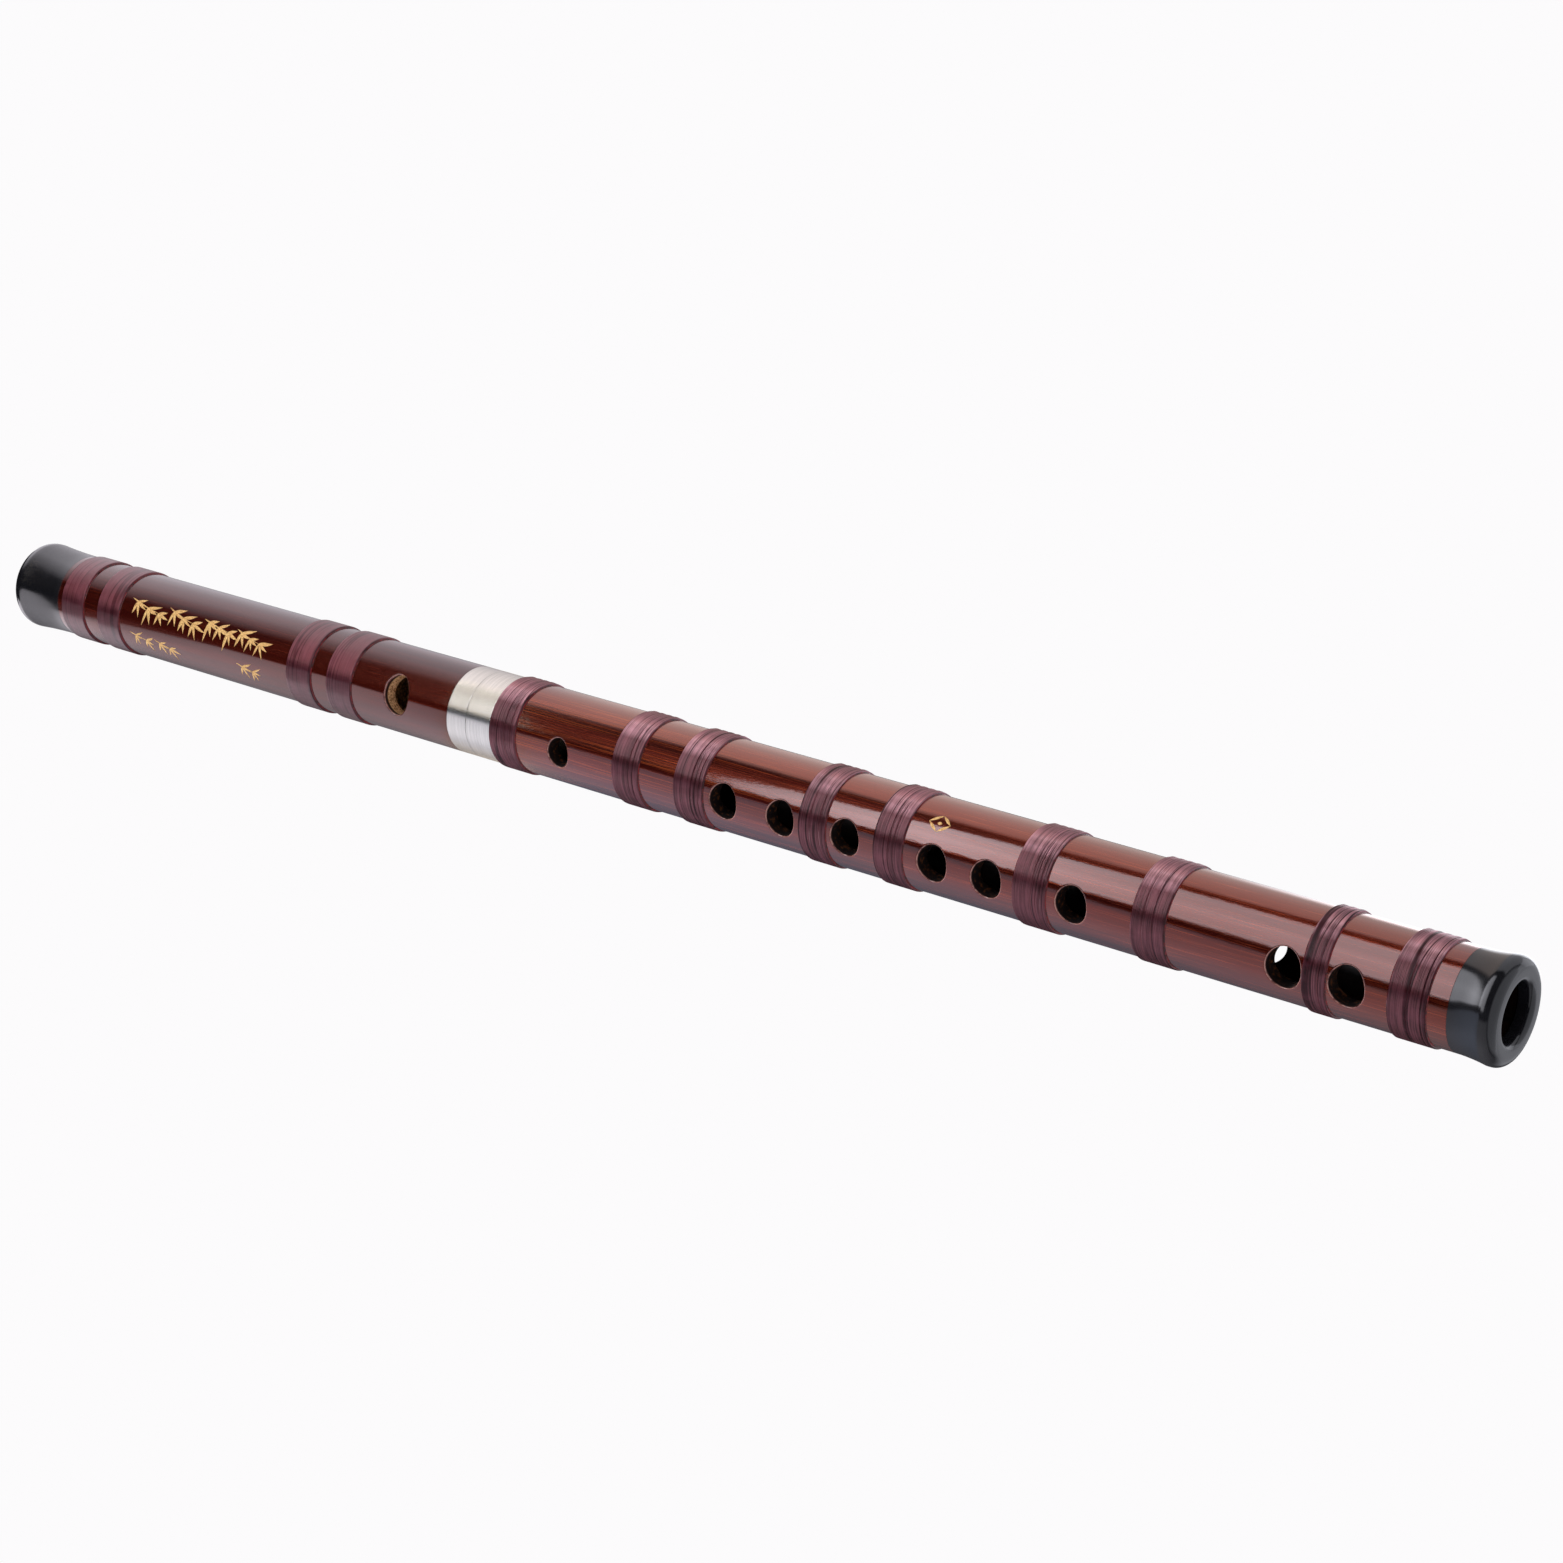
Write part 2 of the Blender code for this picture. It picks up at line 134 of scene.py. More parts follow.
# A pattern in its real size: (length along the flute, width across it), or one number for both
def grain(tree, coords, size, detail=2.0, roughness=0.5, shift=(0.0, 0.0, 0.0), cells=False):
    along, across = size if isinstance(size, tuple) else (size, size)
    stretched = addNode(tree, "Mapping", {
        "Vector": coords, "Location": shift, "Scale": (1000 / along, 1000 / across, 1000 / across)})
    if cells:
        return addNode(tree, "TexVoronoi", {"Vector": stretched, "Scale": 1.0}).outputs["Distance"]
    return addNode(tree, "TexNoise", {
        "Vector": stretched, "Scale": 1.0, "Detail": detail, "Roughness": roughness}).outputs["Fac"]


# How far each point of a surface is from the flute's axis, to the side and up
def offAxis(tree, coords):
    parts = addNode(tree, "SeparateXYZ", {0: coords})
    up = addNode(tree, "Math", {0: parts.outputs["Z"], 1: axisHeight * millimetre}, operation="SUBTRACT")
    return parts.outputs["Y"], up


# Painted highlight and shade: the tint of a reflection, by the turn round the flute;
# paintedLightBands are (turn in degrees, colour). No real finish has such bands. They were chosen
# so that light and dark fall as in the photograph at its own view, and one colour for all of a
# list's bands takes them away.
def paintedLightByTurn(tree, coords, paintedLightBands):
    side, up = offAxis(tree, coords)
    angle = addNode(tree, "Math", {0: side, 1: up}, operation="ARCTAN2")
    share = addNode(tree, "MapRange", {"Value": angle, "From Min": -math.pi, "From Max": math.pi})
    return addNode(tree, "ValToRGB", {"Fac": share}, [(0.5 + turn / 360, shade) for turn, shade in paintedLightBands])


# Clear-lacquered bamboo, stained mahogany red: dark between the fibres, with orange and tan
# fibres under a hard gloss. The lacquer follows the grain, so reflections have ragged edges.
bodyLacquer = {
    "name": "lacqueredBamboo",
    "ground": [(0.34, "#1e0405"), (0.66, "#3c0a08")], "bandSize": (90.0, 2.4),
    "fibre": "#b45430", "fibreSize": (24.0, 0.22), "fibreFrom": 0.56, "fibreTo": 0.72,
    # Golden streaks: many beside the joint and few farther down. They are taken to be hairs of
    # about 0.1 mm, and are drawn wider so that they show.
    "streak": "#c4602a", "streakSize": (60.0, 0.24), "streakFrom": 0.57, "streakTo": 0.68,
    "streakShare": 0.36, "streakLeast": 0.04, "streakNear": 15.0, "streakFar": 60.0,
    # Painted shade: the reflections' tint is duller from turn 13 to 51 than round the rest
    "paintedLightBands": [(6, "#ff6a3c"), (13, "#953b1f"), (51, "#953b1f"), (58, "#ff6a3c")],
    "fibreBump": 0.016, "coatBump": 0.012, "raggedSize": (2.6, 0.40),
    "gloss": {"Roughness": 0.17, "IOR": 1.70, "Specular IOR Level": 1.0,
              "Coat Weight": 1.0, "Coat Roughness": 0.02, "Coat IOR": 1.5},
}
# The head section is darker and smoother in the photograph, with hardly a streak
headLacquer = dict(
    bodyLacquer, name="lacqueredBambooHead", ground=[(0.34, "#290807"), (0.66, "#3f0d07")],
    fibre="#7c2c10", fibreFrom=0.58, fibreTo=0.76,
    # Painted shade: the reflections' tint is duller from turn 36 on
    streak="#7a3418", streakShare=0.10, streakLeast=0.10, paintedLightBands=[(20, "#ff6a4a"), (36, "#d05840")],
    coatBump=0.0025, fibreBump=0.010,
    gloss={**bodyLacquer["gloss"], "IOR": 1.5, "Specular IOR Level": 0.6},
)


def lacquerMaterial(look):
    material, tree, coords = newMaterial(look["name"])
    fibres = grain(tree, coords, look["fibreSize"], 4.0, 0.62)
    bands = grain(tree, coords, look["bandSize"], 3.0, shift=(3.1, 0.7, 1.9))
    ridges = grain(tree, coords, look["raggedSize"], 3.0, 0.65)
    hairs = grain(tree, coords, look["streakSize"], 1.0, shift=(1.7, 4.3, 2.9))
    ground = addNode(tree, "ValToRGB", {"Fac": bands}, look["ground"])
    mask = addNode(tree, "MapRange", {
        "Value": fibres, "From Min": look["fibreFrom"], "From Max": look["fibreTo"]})
    fade = addNode(tree, "Math", {0: mask, 1: bands}, operation="MULTIPLY")
    tinted = addNode(tree, "Mix", {0: fade, 6: ground, 7: look["fibre"]}, data_type="RGBA")
    parts = addNode(tree, "SeparateXYZ", {0: coords})
    most = addNode(tree, "MapRange", {
        "Value": parts.outputs["X"], "From Min": look["streakNear"] * millimetre,
        "From Max": look["streakFar"] * millimetre, "To Min": look["streakShare"],
        "To Max": look["streakLeast"]})
    streaks = addNode(tree, "MapRange", {
        "Value": hairs, "From Min": look["streakFrom"], "From Max": look["streakTo"], "To Max": most})
    colour = addNode(tree, "Mix", {
        0: streaks, 6: tinted.outputs[2], 7: look["streak"]}, data_type="RGBA")
    fibreRelief = addNode(tree, "Bump", {"Height": fibres, "Distance": look["fibreBump"] * millimetre})
    coatRelief = addNode(tree, "Bump", {"Height": ridges, "Distance": look["coatBump"] * millimetre})
    return finished(material, addNode(tree, "BsdfPrincipled", {
        "Base Color": colour.outputs[2], "Specular Tint": paintedLightByTurn(tree, coords, look["paintedLightBands"]),
        "Normal": fibreRelief, "Coat Normal": coatRelief, **look["gloss"]}))


# Drilled bamboo in the walls of the holes: dark at the skin side, tan in the inner wood.
drilledWood = {
    "name": "drilledBamboo", "skin": "#2a0f08", "wood": [(0.36, "#96643e"), (0.56, "#ecbc8c")],
    "poreSize": 0.5, "poreBump": 0.03,
    "skinDepth": 1.3, "tubeRadius": 12.1, "wander": 0.6, "edgeSoft": 0.15,
    "gloss": {"Roughness": 0.62, "IOR": 1.45, "Coat Weight": 0.25, "Coat Roughness": 0.3},
}
# Painted shade: the finger holes' walls are coloured near black, with a few spots of tan
fingerWood = dict(
    drilledWood, name="drilledBambooPaintedShade", skin="#170806",
    wood=[(0.52, "#120807"), (0.68, "#6e4022")], poreSize=1.1,
)


def drilledMaterial(look):
    material, tree, coords = newMaterial(look["name"])
    side, up = offAxis(tree, coords)
    sideSquare = addNode(tree, "Math", {0: side, 1: 2.0}, operation="POWER")
    upSquare = addNode(tree, "Math", {0: up, 1: 2.0}, operation="POWER")
    total = addNode(tree, "Math", {0: sideSquare, 1: upSquare}, operation="ADD")
    radius = addNode(tree, "Math", {0: total}, operation="SQRT")
    pores = grain(tree, coords, look["poreSize"], 3.0, 0.6)
    wandering = addNode(tree, "Math", {
        0: pores, 1: look["wander"] * millimetre, 2: radius}, operation="MULTIPLY_ADD")
    edge = look["tubeRadius"] - look["skinDepth"] + look["wander"] / 2
    skinMask = addNode(tree, "MapRange", {
        "Value": wandering, "From Min": (edge - look["edgeSoft"]) * millimetre,
        "From Max": (edge + look["edgeSoft"]) * millimetre})
    wood = addNode(tree, "ValToRGB", {"Fac": pores}, look["wood"])
    colour = addNode(tree, "Mix", {0: skinMask, 6: wood, 7: look["skin"]}, data_type="RGBA")
    relief = addNode(tree, "Bump", {"Height": pores, "Distance": look["poreBump"] * millimetre})
    return finished(material, addNode(tree, "BsdfPrincipled", {
        "Base Color": colour.outputs[2], "Normal": relief, **look["gloss"]}))


# Black buffalo horn, turned and polished on the lathe: near black, a soft gloss, faint polishing
# lines round it and a few paler clouds.
polishedHorn = {
    "name": "polishedHorn", "colours": [(0.4, "#151518"), (0.75, "#1f1f23")],
    "cloudSize": 9.0, "cloudFrom": 0.3, "cloudTo": 0.7, "lineSize": (0.25, 25.0), "lineBump": 0.0004,
    "roughness": 0.13, "roughFrom": 0.8, "roughTo": 1.3,
    "gloss": {"IOR": 1.50, "Specular IOR Level": 1.0},
}
# The tail cap is a little less glossy, for the match
tailHorn = dict(
    polishedHorn, name="polishedHornTail", gloss={**polishedHorn["gloss"], "Specular IOR Level": 0.5})


def hornMaterial(look):
    material, tree, coords = newMaterial(look["name"])
    clouds = grain(tree, coords, look["cloudSize"], 4.0)
    lines = grain(tree, coords, look["lineSize"])
    colour = addNode(tree, "ValToRGB", {"Fac": clouds}, look["colours"])
    relief = addNode(tree, "Bump", {"Height": lines, "Distance": look["lineBump"] * millimetre})
    rough = addNode(tree, "MapRange", {
        "Value": clouds, "From Min": look["cloudFrom"], "From Max": look["cloudTo"],
        "To Min": look["roughness"] * look["roughFrom"], "To Max": look["roughness"] * look["roughTo"]})
    return finished(material, addNode(tree, "BsdfPrincipled", {
        "Base Color": colour, "Roughness": rough, "Normal": relief, **look["gloss"]}))


# Nickel silver, turned and finished with fine paper on the lathe: a warm white metal whose fine
# rings draw every highlight out along the flute.
turnedNickel = {
    "name": "turnedNickelSilver", "colours": [(0.35, "#cdcbc4"), (0.62, "#dcdad3")],
    "ringSize": (0.22, 40.0), "ringBump": 0.0007,
    "gloss": {"Metallic": 1.0, "Roughness": 0.23, "Anisotropic": 0.3, "Anisotropic Rotation": 0.25},
}


def nickelMaterial(look):
    material, tree, coords = newMaterial(look["name"])
    rings = grain(tree, coords, look["ringSize"], 3.0, 0.6)
    colour = addNode(tree, "ValToRGB", {"Fac": rings}, look["colours"])
    relief = addNode(tree, "Bump", {"Height": rings, "Distance": look["ringBump"] * millimetre})
    around = addNode(tree, "Tangent", direction_type="RADIAL", axis="X")
    return finished(material, addNode(tree, "BsdfPrincipled", {
        "Base Color": colour, "Normal": relief, "Tangent": around, **look["gloss"]}))


# Plum silk thread wound side by side and soaked with clear lacquer: each turn shows as a fine
# line, with a silky sheen across the turns and paler patches. The lines are partly relief and
# partly painted shade in the sheen's tint, and the sheen's tint by turn is painted highlight and shade.
bodyThread = {
    "name": "lacqueredThread",
    "ground": [(0.34, "#1c080b"), (0.64, "#341218")], "threadSize": (0.30, 50 / 3), "bump": 0.009,
    "worn": "#4d2630", "wornFrom": 0.48, "wornTo": 0.72, "wornMost": 0.6, "patchSize": 3.5,
    # Painted highlight and shade: the sheen's tint by turn, brightest from turn 54 to 72 and dull from 12 to
    # 44
    "paintedLightBands": [(6, "#8b575c"), (12, "#6c4347"), (44, "#76494d"), (54, "#dda4ac"),
               (66, "#ffc5ce"), (72, "#e5a6ad"), (82, "#bc8690"), (104, "#ad8189")],
    # Painted shade: the sheen's tint is darker where each turn's relief is low
    "paintedFurrowShade": [(0.38, "#a6a6a6"), (0.60, "#ffffff")],
    # Thin lines where two turns stand apart, in which the sheen's tint is darkened: painted shade
    "partSize": (2.4, 1000 / 9), "partWidth": 0.035, "partCore": 0.3, "partingShade": "#2c1c20",
    # An IOR this high is no thread's: it gives the sheen its strength
    "gloss": {"Roughness": 0.38, "IOR": 3.5, "Specular IOR Level": 1.0, "Anisotropic": 0.6,
              "Anisotropic Rotation": 0.25, "Coat Weight": 0.32, "Coat Roughness": 0.10, "Coat IOR": 1.5},
}
# On the head section the bindings look smoother, like dusky tape: less relief and more coat
headThread = dict(
    bodyThread, name="lacqueredThreadHead", ground=[(0.34, "#1e080c"), (0.64, "#36121a")], bump=0.0015,
    # Painted highlight: the sheen's tint is brighter from turn 16 on
    worn="#4c2630", paintedLightBands=[(-8, "#c47379"), (16, "#ff97a0")],
    paintedFurrowShade=[(0.38, "#e0e0e0"), (0.60, "#ffffff")], partingShade="#a08c90",
    gloss={**bodyThread["gloss"], "IOR": 1.72, "Coat Weight": 0.50, "Coat Roughness": 0.04},
)


def threadMaterial(look):
    material, tree, coords = newMaterial(look["name"])
    turns = grain(tree, coords, look["threadSize"], 3.0, 0.65)
    patches = grain(tree, coords, look["patchSize"], 4.0)
    parted = grain(tree, coords, look["partSize"], 0.0, shift=(0.37, 0.11, 0.23))
    ground = addNode(tree, "ValToRGB", {"Fac": turns}, look["ground"])
    wear = addNode(tree, "MapRange", {
        "Value": patches, "From Min": look["wornFrom"], "From Max": look["wornTo"],
        "To Max": look["wornMost"]})
    colour = addNode(tree, "Mix", {0: wear, 6: ground, 7: look["worn"]}, data_type="RGBA")
    relief = addNode(tree, "Bump", {"Height": turns, "Distance": look["bump"] * millimetre})
    around = addNode(tree, "Tangent", direction_type="RADIAL", axis="X")
    paintedFurrowShade = addNode(tree, "ValToRGB", {"Fac": turns}, look["paintedFurrowShade"])
    outer, core = look["partWidth"], look["partWidth"] * look["partCore"]
    paintedGapShade = addNode(tree, "ValToRGB", {"Fac": parted}, [
        (0.5 - outer, "#ffffff"), (0.5 - core, look["partingShade"]),
        (0.5 + core, look["partingShade"]), (0.5 + outer, "#ffffff")])
    # Painted highlight and shade: the sheen's tint by turn, darkened in the furrows and gaps of the turns
    paintedSheen = paintedLightByTurn(tree, coords, look["paintedLightBands"]).outputs["Color"]
    for darker in (paintedFurrowShade, paintedGapShade):
        paintedSheen = addNode(
            tree, "Mix", {0: 1.0, 6: paintedSheen, 7: darker}, data_type="RGBA", blend_type="MULTIPLY").outputs[2]
    return finished(material, addNode(tree, "BsdfPrincipled", {
        "Base Color": colour.outputs[2], "Specular Tint": paintedSheen, "Normal": relief, "Tangent": around,
        **look["gloss"]}))


# Painted highlight: the rounded rims of the holes are coloured pale and pinkish, standing in for the light
# along their rounding.
rimPaintedHighlight = {
    "name": "rimPaintedHighlight", "colours": [(0.36, "#5c302a"), (0.56, "#a5746a")], "size": 1.2, "detail": 2.0,
    "gloss": {"Roughness": 0.35, "IOR": 1.5, "Coat Weight": 0.6, "Coat Roughness": 0.08},
}
# The bore, taken to be brushed with thin brown lacquer over planed bamboo, half glossy; it is coloured near
# black, partly painted shade of the deep bore.
boreLacquer = {
    "name": "boreLacquer", "colours": [(0.35, "#0d0605"), (0.7, "#1f0d08")], "size": (20.0, 0.9),
    "detail": 3.0, "bump": 0.03, "gloss": {"Roughness": 0.34, "IOR": 1.5},
}
# The crimson line beside each binding, taken to be lacquer that ran and set in the corner:
# clear and glossy, darker where it lies thick.
crimsonLacquer = {
    "name": "pooledLacquer", "colours": [(0.38, "#340609"), (0.62, "#741018")], "size": 1.6,
    "detail": 3.0, "bump": 0.05, "gloss": {"Roughness": 0.18, "IOR": 1.5},
}
# Natural cork, cut and sanded: tan cells with darker pores, quite matt.
naturalCork = {
    "name": "naturalCork", "colours": [(0.1, "#c39a6b"), (0.8, "#7c5530")], "size": 0.8,
    "cells": True, "bump": 0.08, "gloss": {"Roughness": 0.85, "IOR": 1.4},
}
# Gold paint brushed on by hand: warm, grainy and only half shiny.
goldPaint = {
    "name": "goldPaint", "colours": [(0.35, "#b98444"), (0.62, "#efc67e")], "size": 0.35,
    "detail": 3.0, "bump": 0.02, "gloss": {"Metallic": 0.2, "Roughness": 0.5},
}


# The finishes above: a pattern between two colours, with a little relief on all but the rims
def mottledMaterial(look):
    material, tree, coords = newMaterial(look["name"])
    pattern = grain(tree, coords, look["size"], look.get("detail", 0.0), cells=look.get("cells", False))
    inputs = {"Base Color": addNode(tree, "ValToRGB", {"Fac": pattern}, look["colours"]), **look["gloss"]}
    if "bump" in look:
        inputs["Normal"] = addNode(tree, "Bump", {
            "Height": pattern, "Distance": look["bump"] * millimetre})
    return finished(material, addNode(tree, "BsdfPrincipled", inputs))


bodySkin = lacquerMaterial(bodyLacquer)
headSkin = lacquerMaterial(headLacquer)
blowHoleWood = drilledMaterial(drilledWood)
fingerHoleWood = drilledMaterial(fingerWood)
boreSkin = mottledMaterial(boreLacquer)
rimHighlightSkin = mottledMaterial(rimPaintedHighlight)
horn = {"head_cap": hornMaterial(polishedHorn), "tail_cap": hornMaterial(tailHorn)}
nickel = nickelMaterial(turnedNickel)
threadOnBody = threadMaterial(bodyThread)
threadOnHead = threadMaterial(headThread)
pooled = mottledMaterial(crimsonLacquer)
cork = mottledMaterial(naturalCork)
gold = mottledMaterial(goldPaint)
print("Materials made:", len(bpy.data.materials))


def makePiece(name, points, faces, materials, body, nodes=(), faceSlots=None):
    mesh = bpy.data.meshes.new(name)
    mesh.from_pydata(points, [], faces)
    for material in materials:
        mesh.materials.append(material)
    if faceSlots:
        for polygon, index in zip(mesh.polygons, faceSlots):
            polygon.material_index = index
    model = bmesh.new()
    model.from_mesh(mesh)
    loose = [vertex for vertex in model.verts if not vertex.link_faces]
    bmesh.ops.delete(model, geom=loose, context="VERTS")
    bmesh.ops.recalc_face_normals(model, faces=model.faces)
    model.to_mesh(mesh)
    model.free()
    mesh.shade_smooth()
    mesh.set_sharp_from_angle(angle=math.radians(smoothAngle))
    piece = bpy.data.objects.new(name, mesh)
    bpy.context.scene.collection.objects.link(piece)
    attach(piece, body)
    if nodes:
        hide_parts(*nodes)
    return piece


# A closed outline of (along, radius, rounding) corners becomes plain points with rounded corners.
# A close row beside each arc keeps the flat next to it flat when it is smooth shaded.
closeRow = 0.2


def rounded(outline, steps=6):
    points = []
    for i, (along, radius, rounding) in enumerate(outline):
        corner = Vector((along, radius))
        if not rounding:
            points.append((along, radius))
            continue
        before = (Vector(outline[i - 1][:2]) - corner).normalized()
        after = (Vector(outline[(i + 1) % len(outline)][:2]) - corner).normalized()
        half = before.angle(after) / 2
        centre = corner + (before + after).normalized() * rounding / math.sin(half)
        reach = rounding / math.tan(half)
        first = corner + before * reach - centre
        last = corner + after * reach - centre
        points.append(tuple(corner + before * (reach + rounding * closeRow)))
        opening = math.atan2(first.y, first.x)
        sweep = (math.atan2(last.y, last.x) - opening + math.pi) % math.tau - math.pi
        for k in range(steps + 1):
            angle = opening + sweep * k / steps
            points.append((centre.x + rounding * math.cos(angle), centre.y + rounding * math.sin(angle)))
        points.append(tuple(corner + after * (reach + rounding * closeRow)))
    return points


def turnedPiece(name, outline, material, body, around=144):
    points, faces = [], []
    for i, (along, radius) in enumerate(outline):
        points += ringAt(along, radius, around)
        faces += [faceBetween(i, (i + 1) % len(outline), j, around) for j in range(around)]
    return makePiece(name, points, faces, [material], body, [name])


# Bamboo tubes. Each runs as one closed skin over its outside, its ends, its bore and the walls of
# its holes; round each hole the faces run in rings, so the lacquer shades evenly up to the rim.
tubes = {
    "radius": 12.1, "bore": 7.6, "around": 144, "roundSteps": 3,
    "seatDepth": 0.4, "seatGap": 0.02, "edgeRound": 0.04,
    # The spigots under the caps and ferrules are turned down by these
    "capStep": 2.0, "ferruleStep": 1.25, "joinGap": 0.03, "joinRound": 0.03, "ferruleGap": 0.2,
    "tenonSeat": 8.9, "socketSeat": 10.0, "sleeveGap": 0.3,
    "holeMargin": 1.3, "endMargin": 0.05, "sideMargin": 0.4, "outerSpare": 4, "innerSpare": 5,
    "rimRound": 0.36, "boreRimRound": 0.2,
    "rowsAcross": 22, "ringShares": (0.25, 0.5, 0.75, 0.93, 1.0),
    "rimSteps": 4, "wallSteps": 6, "boreRimSteps": 3,
}
sameRadius = 1e-4    # radii that differ by less are one
wallLeast = 2.0      # what lies deeper than this under the skin is the bore or an end
skinSlot, woodSlot, boreSlot, rimSlot = range(4)
holeKinds = {
    "blow": (8.8, 11.0), "membrane": (6.9, 8.0), "finger": (8.6, 9.4),
    "vent": (9.0, 9.9), "back": (7.6, 8.2),
}
# Stations of the holes from the head end, and their turns
headHoles = [(161.8, "blow", 13.6)]
bodyHoles = [(221.4, "membrane", 0.0)]
bodyHoles += [(station, "finger", 0.0) for station in (277.5, 295.9, 316.2, 342.6, 358.5, 382.7)]
bodyHoles += [(station, "back", -145.0) for station in (414.0, 426.4)]
bodyHoles += [(station, "vent", 0.0) for station in (439.45, 455.4)]


def seatedOutside(bindings):
    corners = []
    radius, seat = tubes["radius"], tubes["radius"] - tubes["seatDepth"]
    for node in bindings:
        start, end = alongOf(node)
        start -= tubes["seatGap"]
        end += tubes["seatGap"]
        corners += [(start, radius, tubes["edgeRound"]), (start, seat, 0)]
        corners += [(end, seat, 0), (end, radius, tubes["edgeRound"])]
    return corners


# How many columns of faces on each side of a hole's middle make way for it
def columnsBeside(halfWide, radius, spare):
    reach = math.degrees(math.asin((halfWide + tubes["sideMargin"]) / radius)) + spare
    return math.ceil(reach / (360 / tubes["around"]))


# The outline as rows of points along the tube, with the patches of rows that holes go through.
# A hole has one patch outside and one in the bore, with as many points round the one as the other.
def rowsAndPatches(outline, holes, phase):
    rows, patches = [], []
    for i, (along, radius) in enumerate(outline):
        nextAlong, nextRadius = outline[(i + 1) % len(outline)]
        rows.append((along, radius))
        drilled = min(abs(radius - tubes["radius"]), abs(radius - tubes["bore"])) < sameRadius
        if abs(radius - nextRadius) > sameRadius or not drilled:
            continue
        outside = nextAlong > along
        low, high = min(along, nextAlong), max(along, nextAlong)
        inRun = [hole for hole in holes if low < headEnd + hole[0] < high]
        for station, kind, turn in sorted(inRun, reverse=not outside):
            middle = headEnd + station
            halfLong, halfWide = (size / 2 for size in holeKinds[kind])
            start = max(middle - halfLong - tubes["holeMargin"], low + tubes["endMargin"])
            end = min(middle + halfLong + tubes["holeMargin"], high - tubes["endMargin"])
            outerHalf = columnsBeside(halfWide, tubes["radius"], tubes["outerSpare"])
            innerHalf = columnsBeside(halfWide, tubes["bore"], tubes["innerSpare"])
            across = tubes["rowsAcross"] + (0 if outside else 2 * outerHalf - 2 * innerHalf)
            patches.append({
                "station": station, "turn": turn, "long": halfLong, "wide": halfWide,
                "outside": outside, "firstRow": len(rows), "across": across,
                "half": outerHalf if outside else innerHalf,
                "column": round((turn - phase) / (360 / tubes["around"])),
            })
            for k in range(across + 1):
                share = k / across if outside else 1 - k / across
                rows.append((start + (end - start) * share, radius))
    return rows, patches


def boundaryOf(patch):
    across, half = patch["across"], patch["half"]
    cells = [(across, c) for c in range(0, half)]
    cells += [(r, half) for r in range(across, 0, -1)]
    cells += [(0, c) for c in range(half, -half, -1)]
    cells += [(r, -half) for r in range(0, across)]
    cells += [(across, c) for c in range(-half, 0)]
    indices = []
    for row, column in cells:
        line = patch["firstRow"] + (row if patch["outside"] else across - row)
        indices.append(line * tubes["around"] + (patch["column"] + column) % tubes["around"])
    return indices


# The oval of a hole, a little larger by grow, as (along, lean from the hole's turn, radius)
def ovalOf(hole, count, grow, radius):
    oval = []
    for k in range(count):
        angle = math.tau * k / count
        across = (hole["wide"] + grow) * math.sin(angle)
        along = headEnd + hole["station"] + (hole["long"] + grow) * math.cos(angle)
        oval.append((along, math.degrees(math.asin(across / radius)), radius))
    return oval


# Rings of points that go over from a patch's boundary to the oval
def ringsTowards(places, oval, turn, radius):
    rings = []
    for share in tubes["ringShares"]:
        ring = []
        for place, (along, lean, _) in zip(places, oval):
            startLean = math.degrees(math.atan2(place.y, place.z - axisHeight)) - turn
            startLean = (startLean + 180) % 360 - 180
            ring.append(onFlute(
                place.x + (along - place.x) * share, turn + startLean + (lean - startLean) * share, radius))
        rings.append(ring)
    return rings


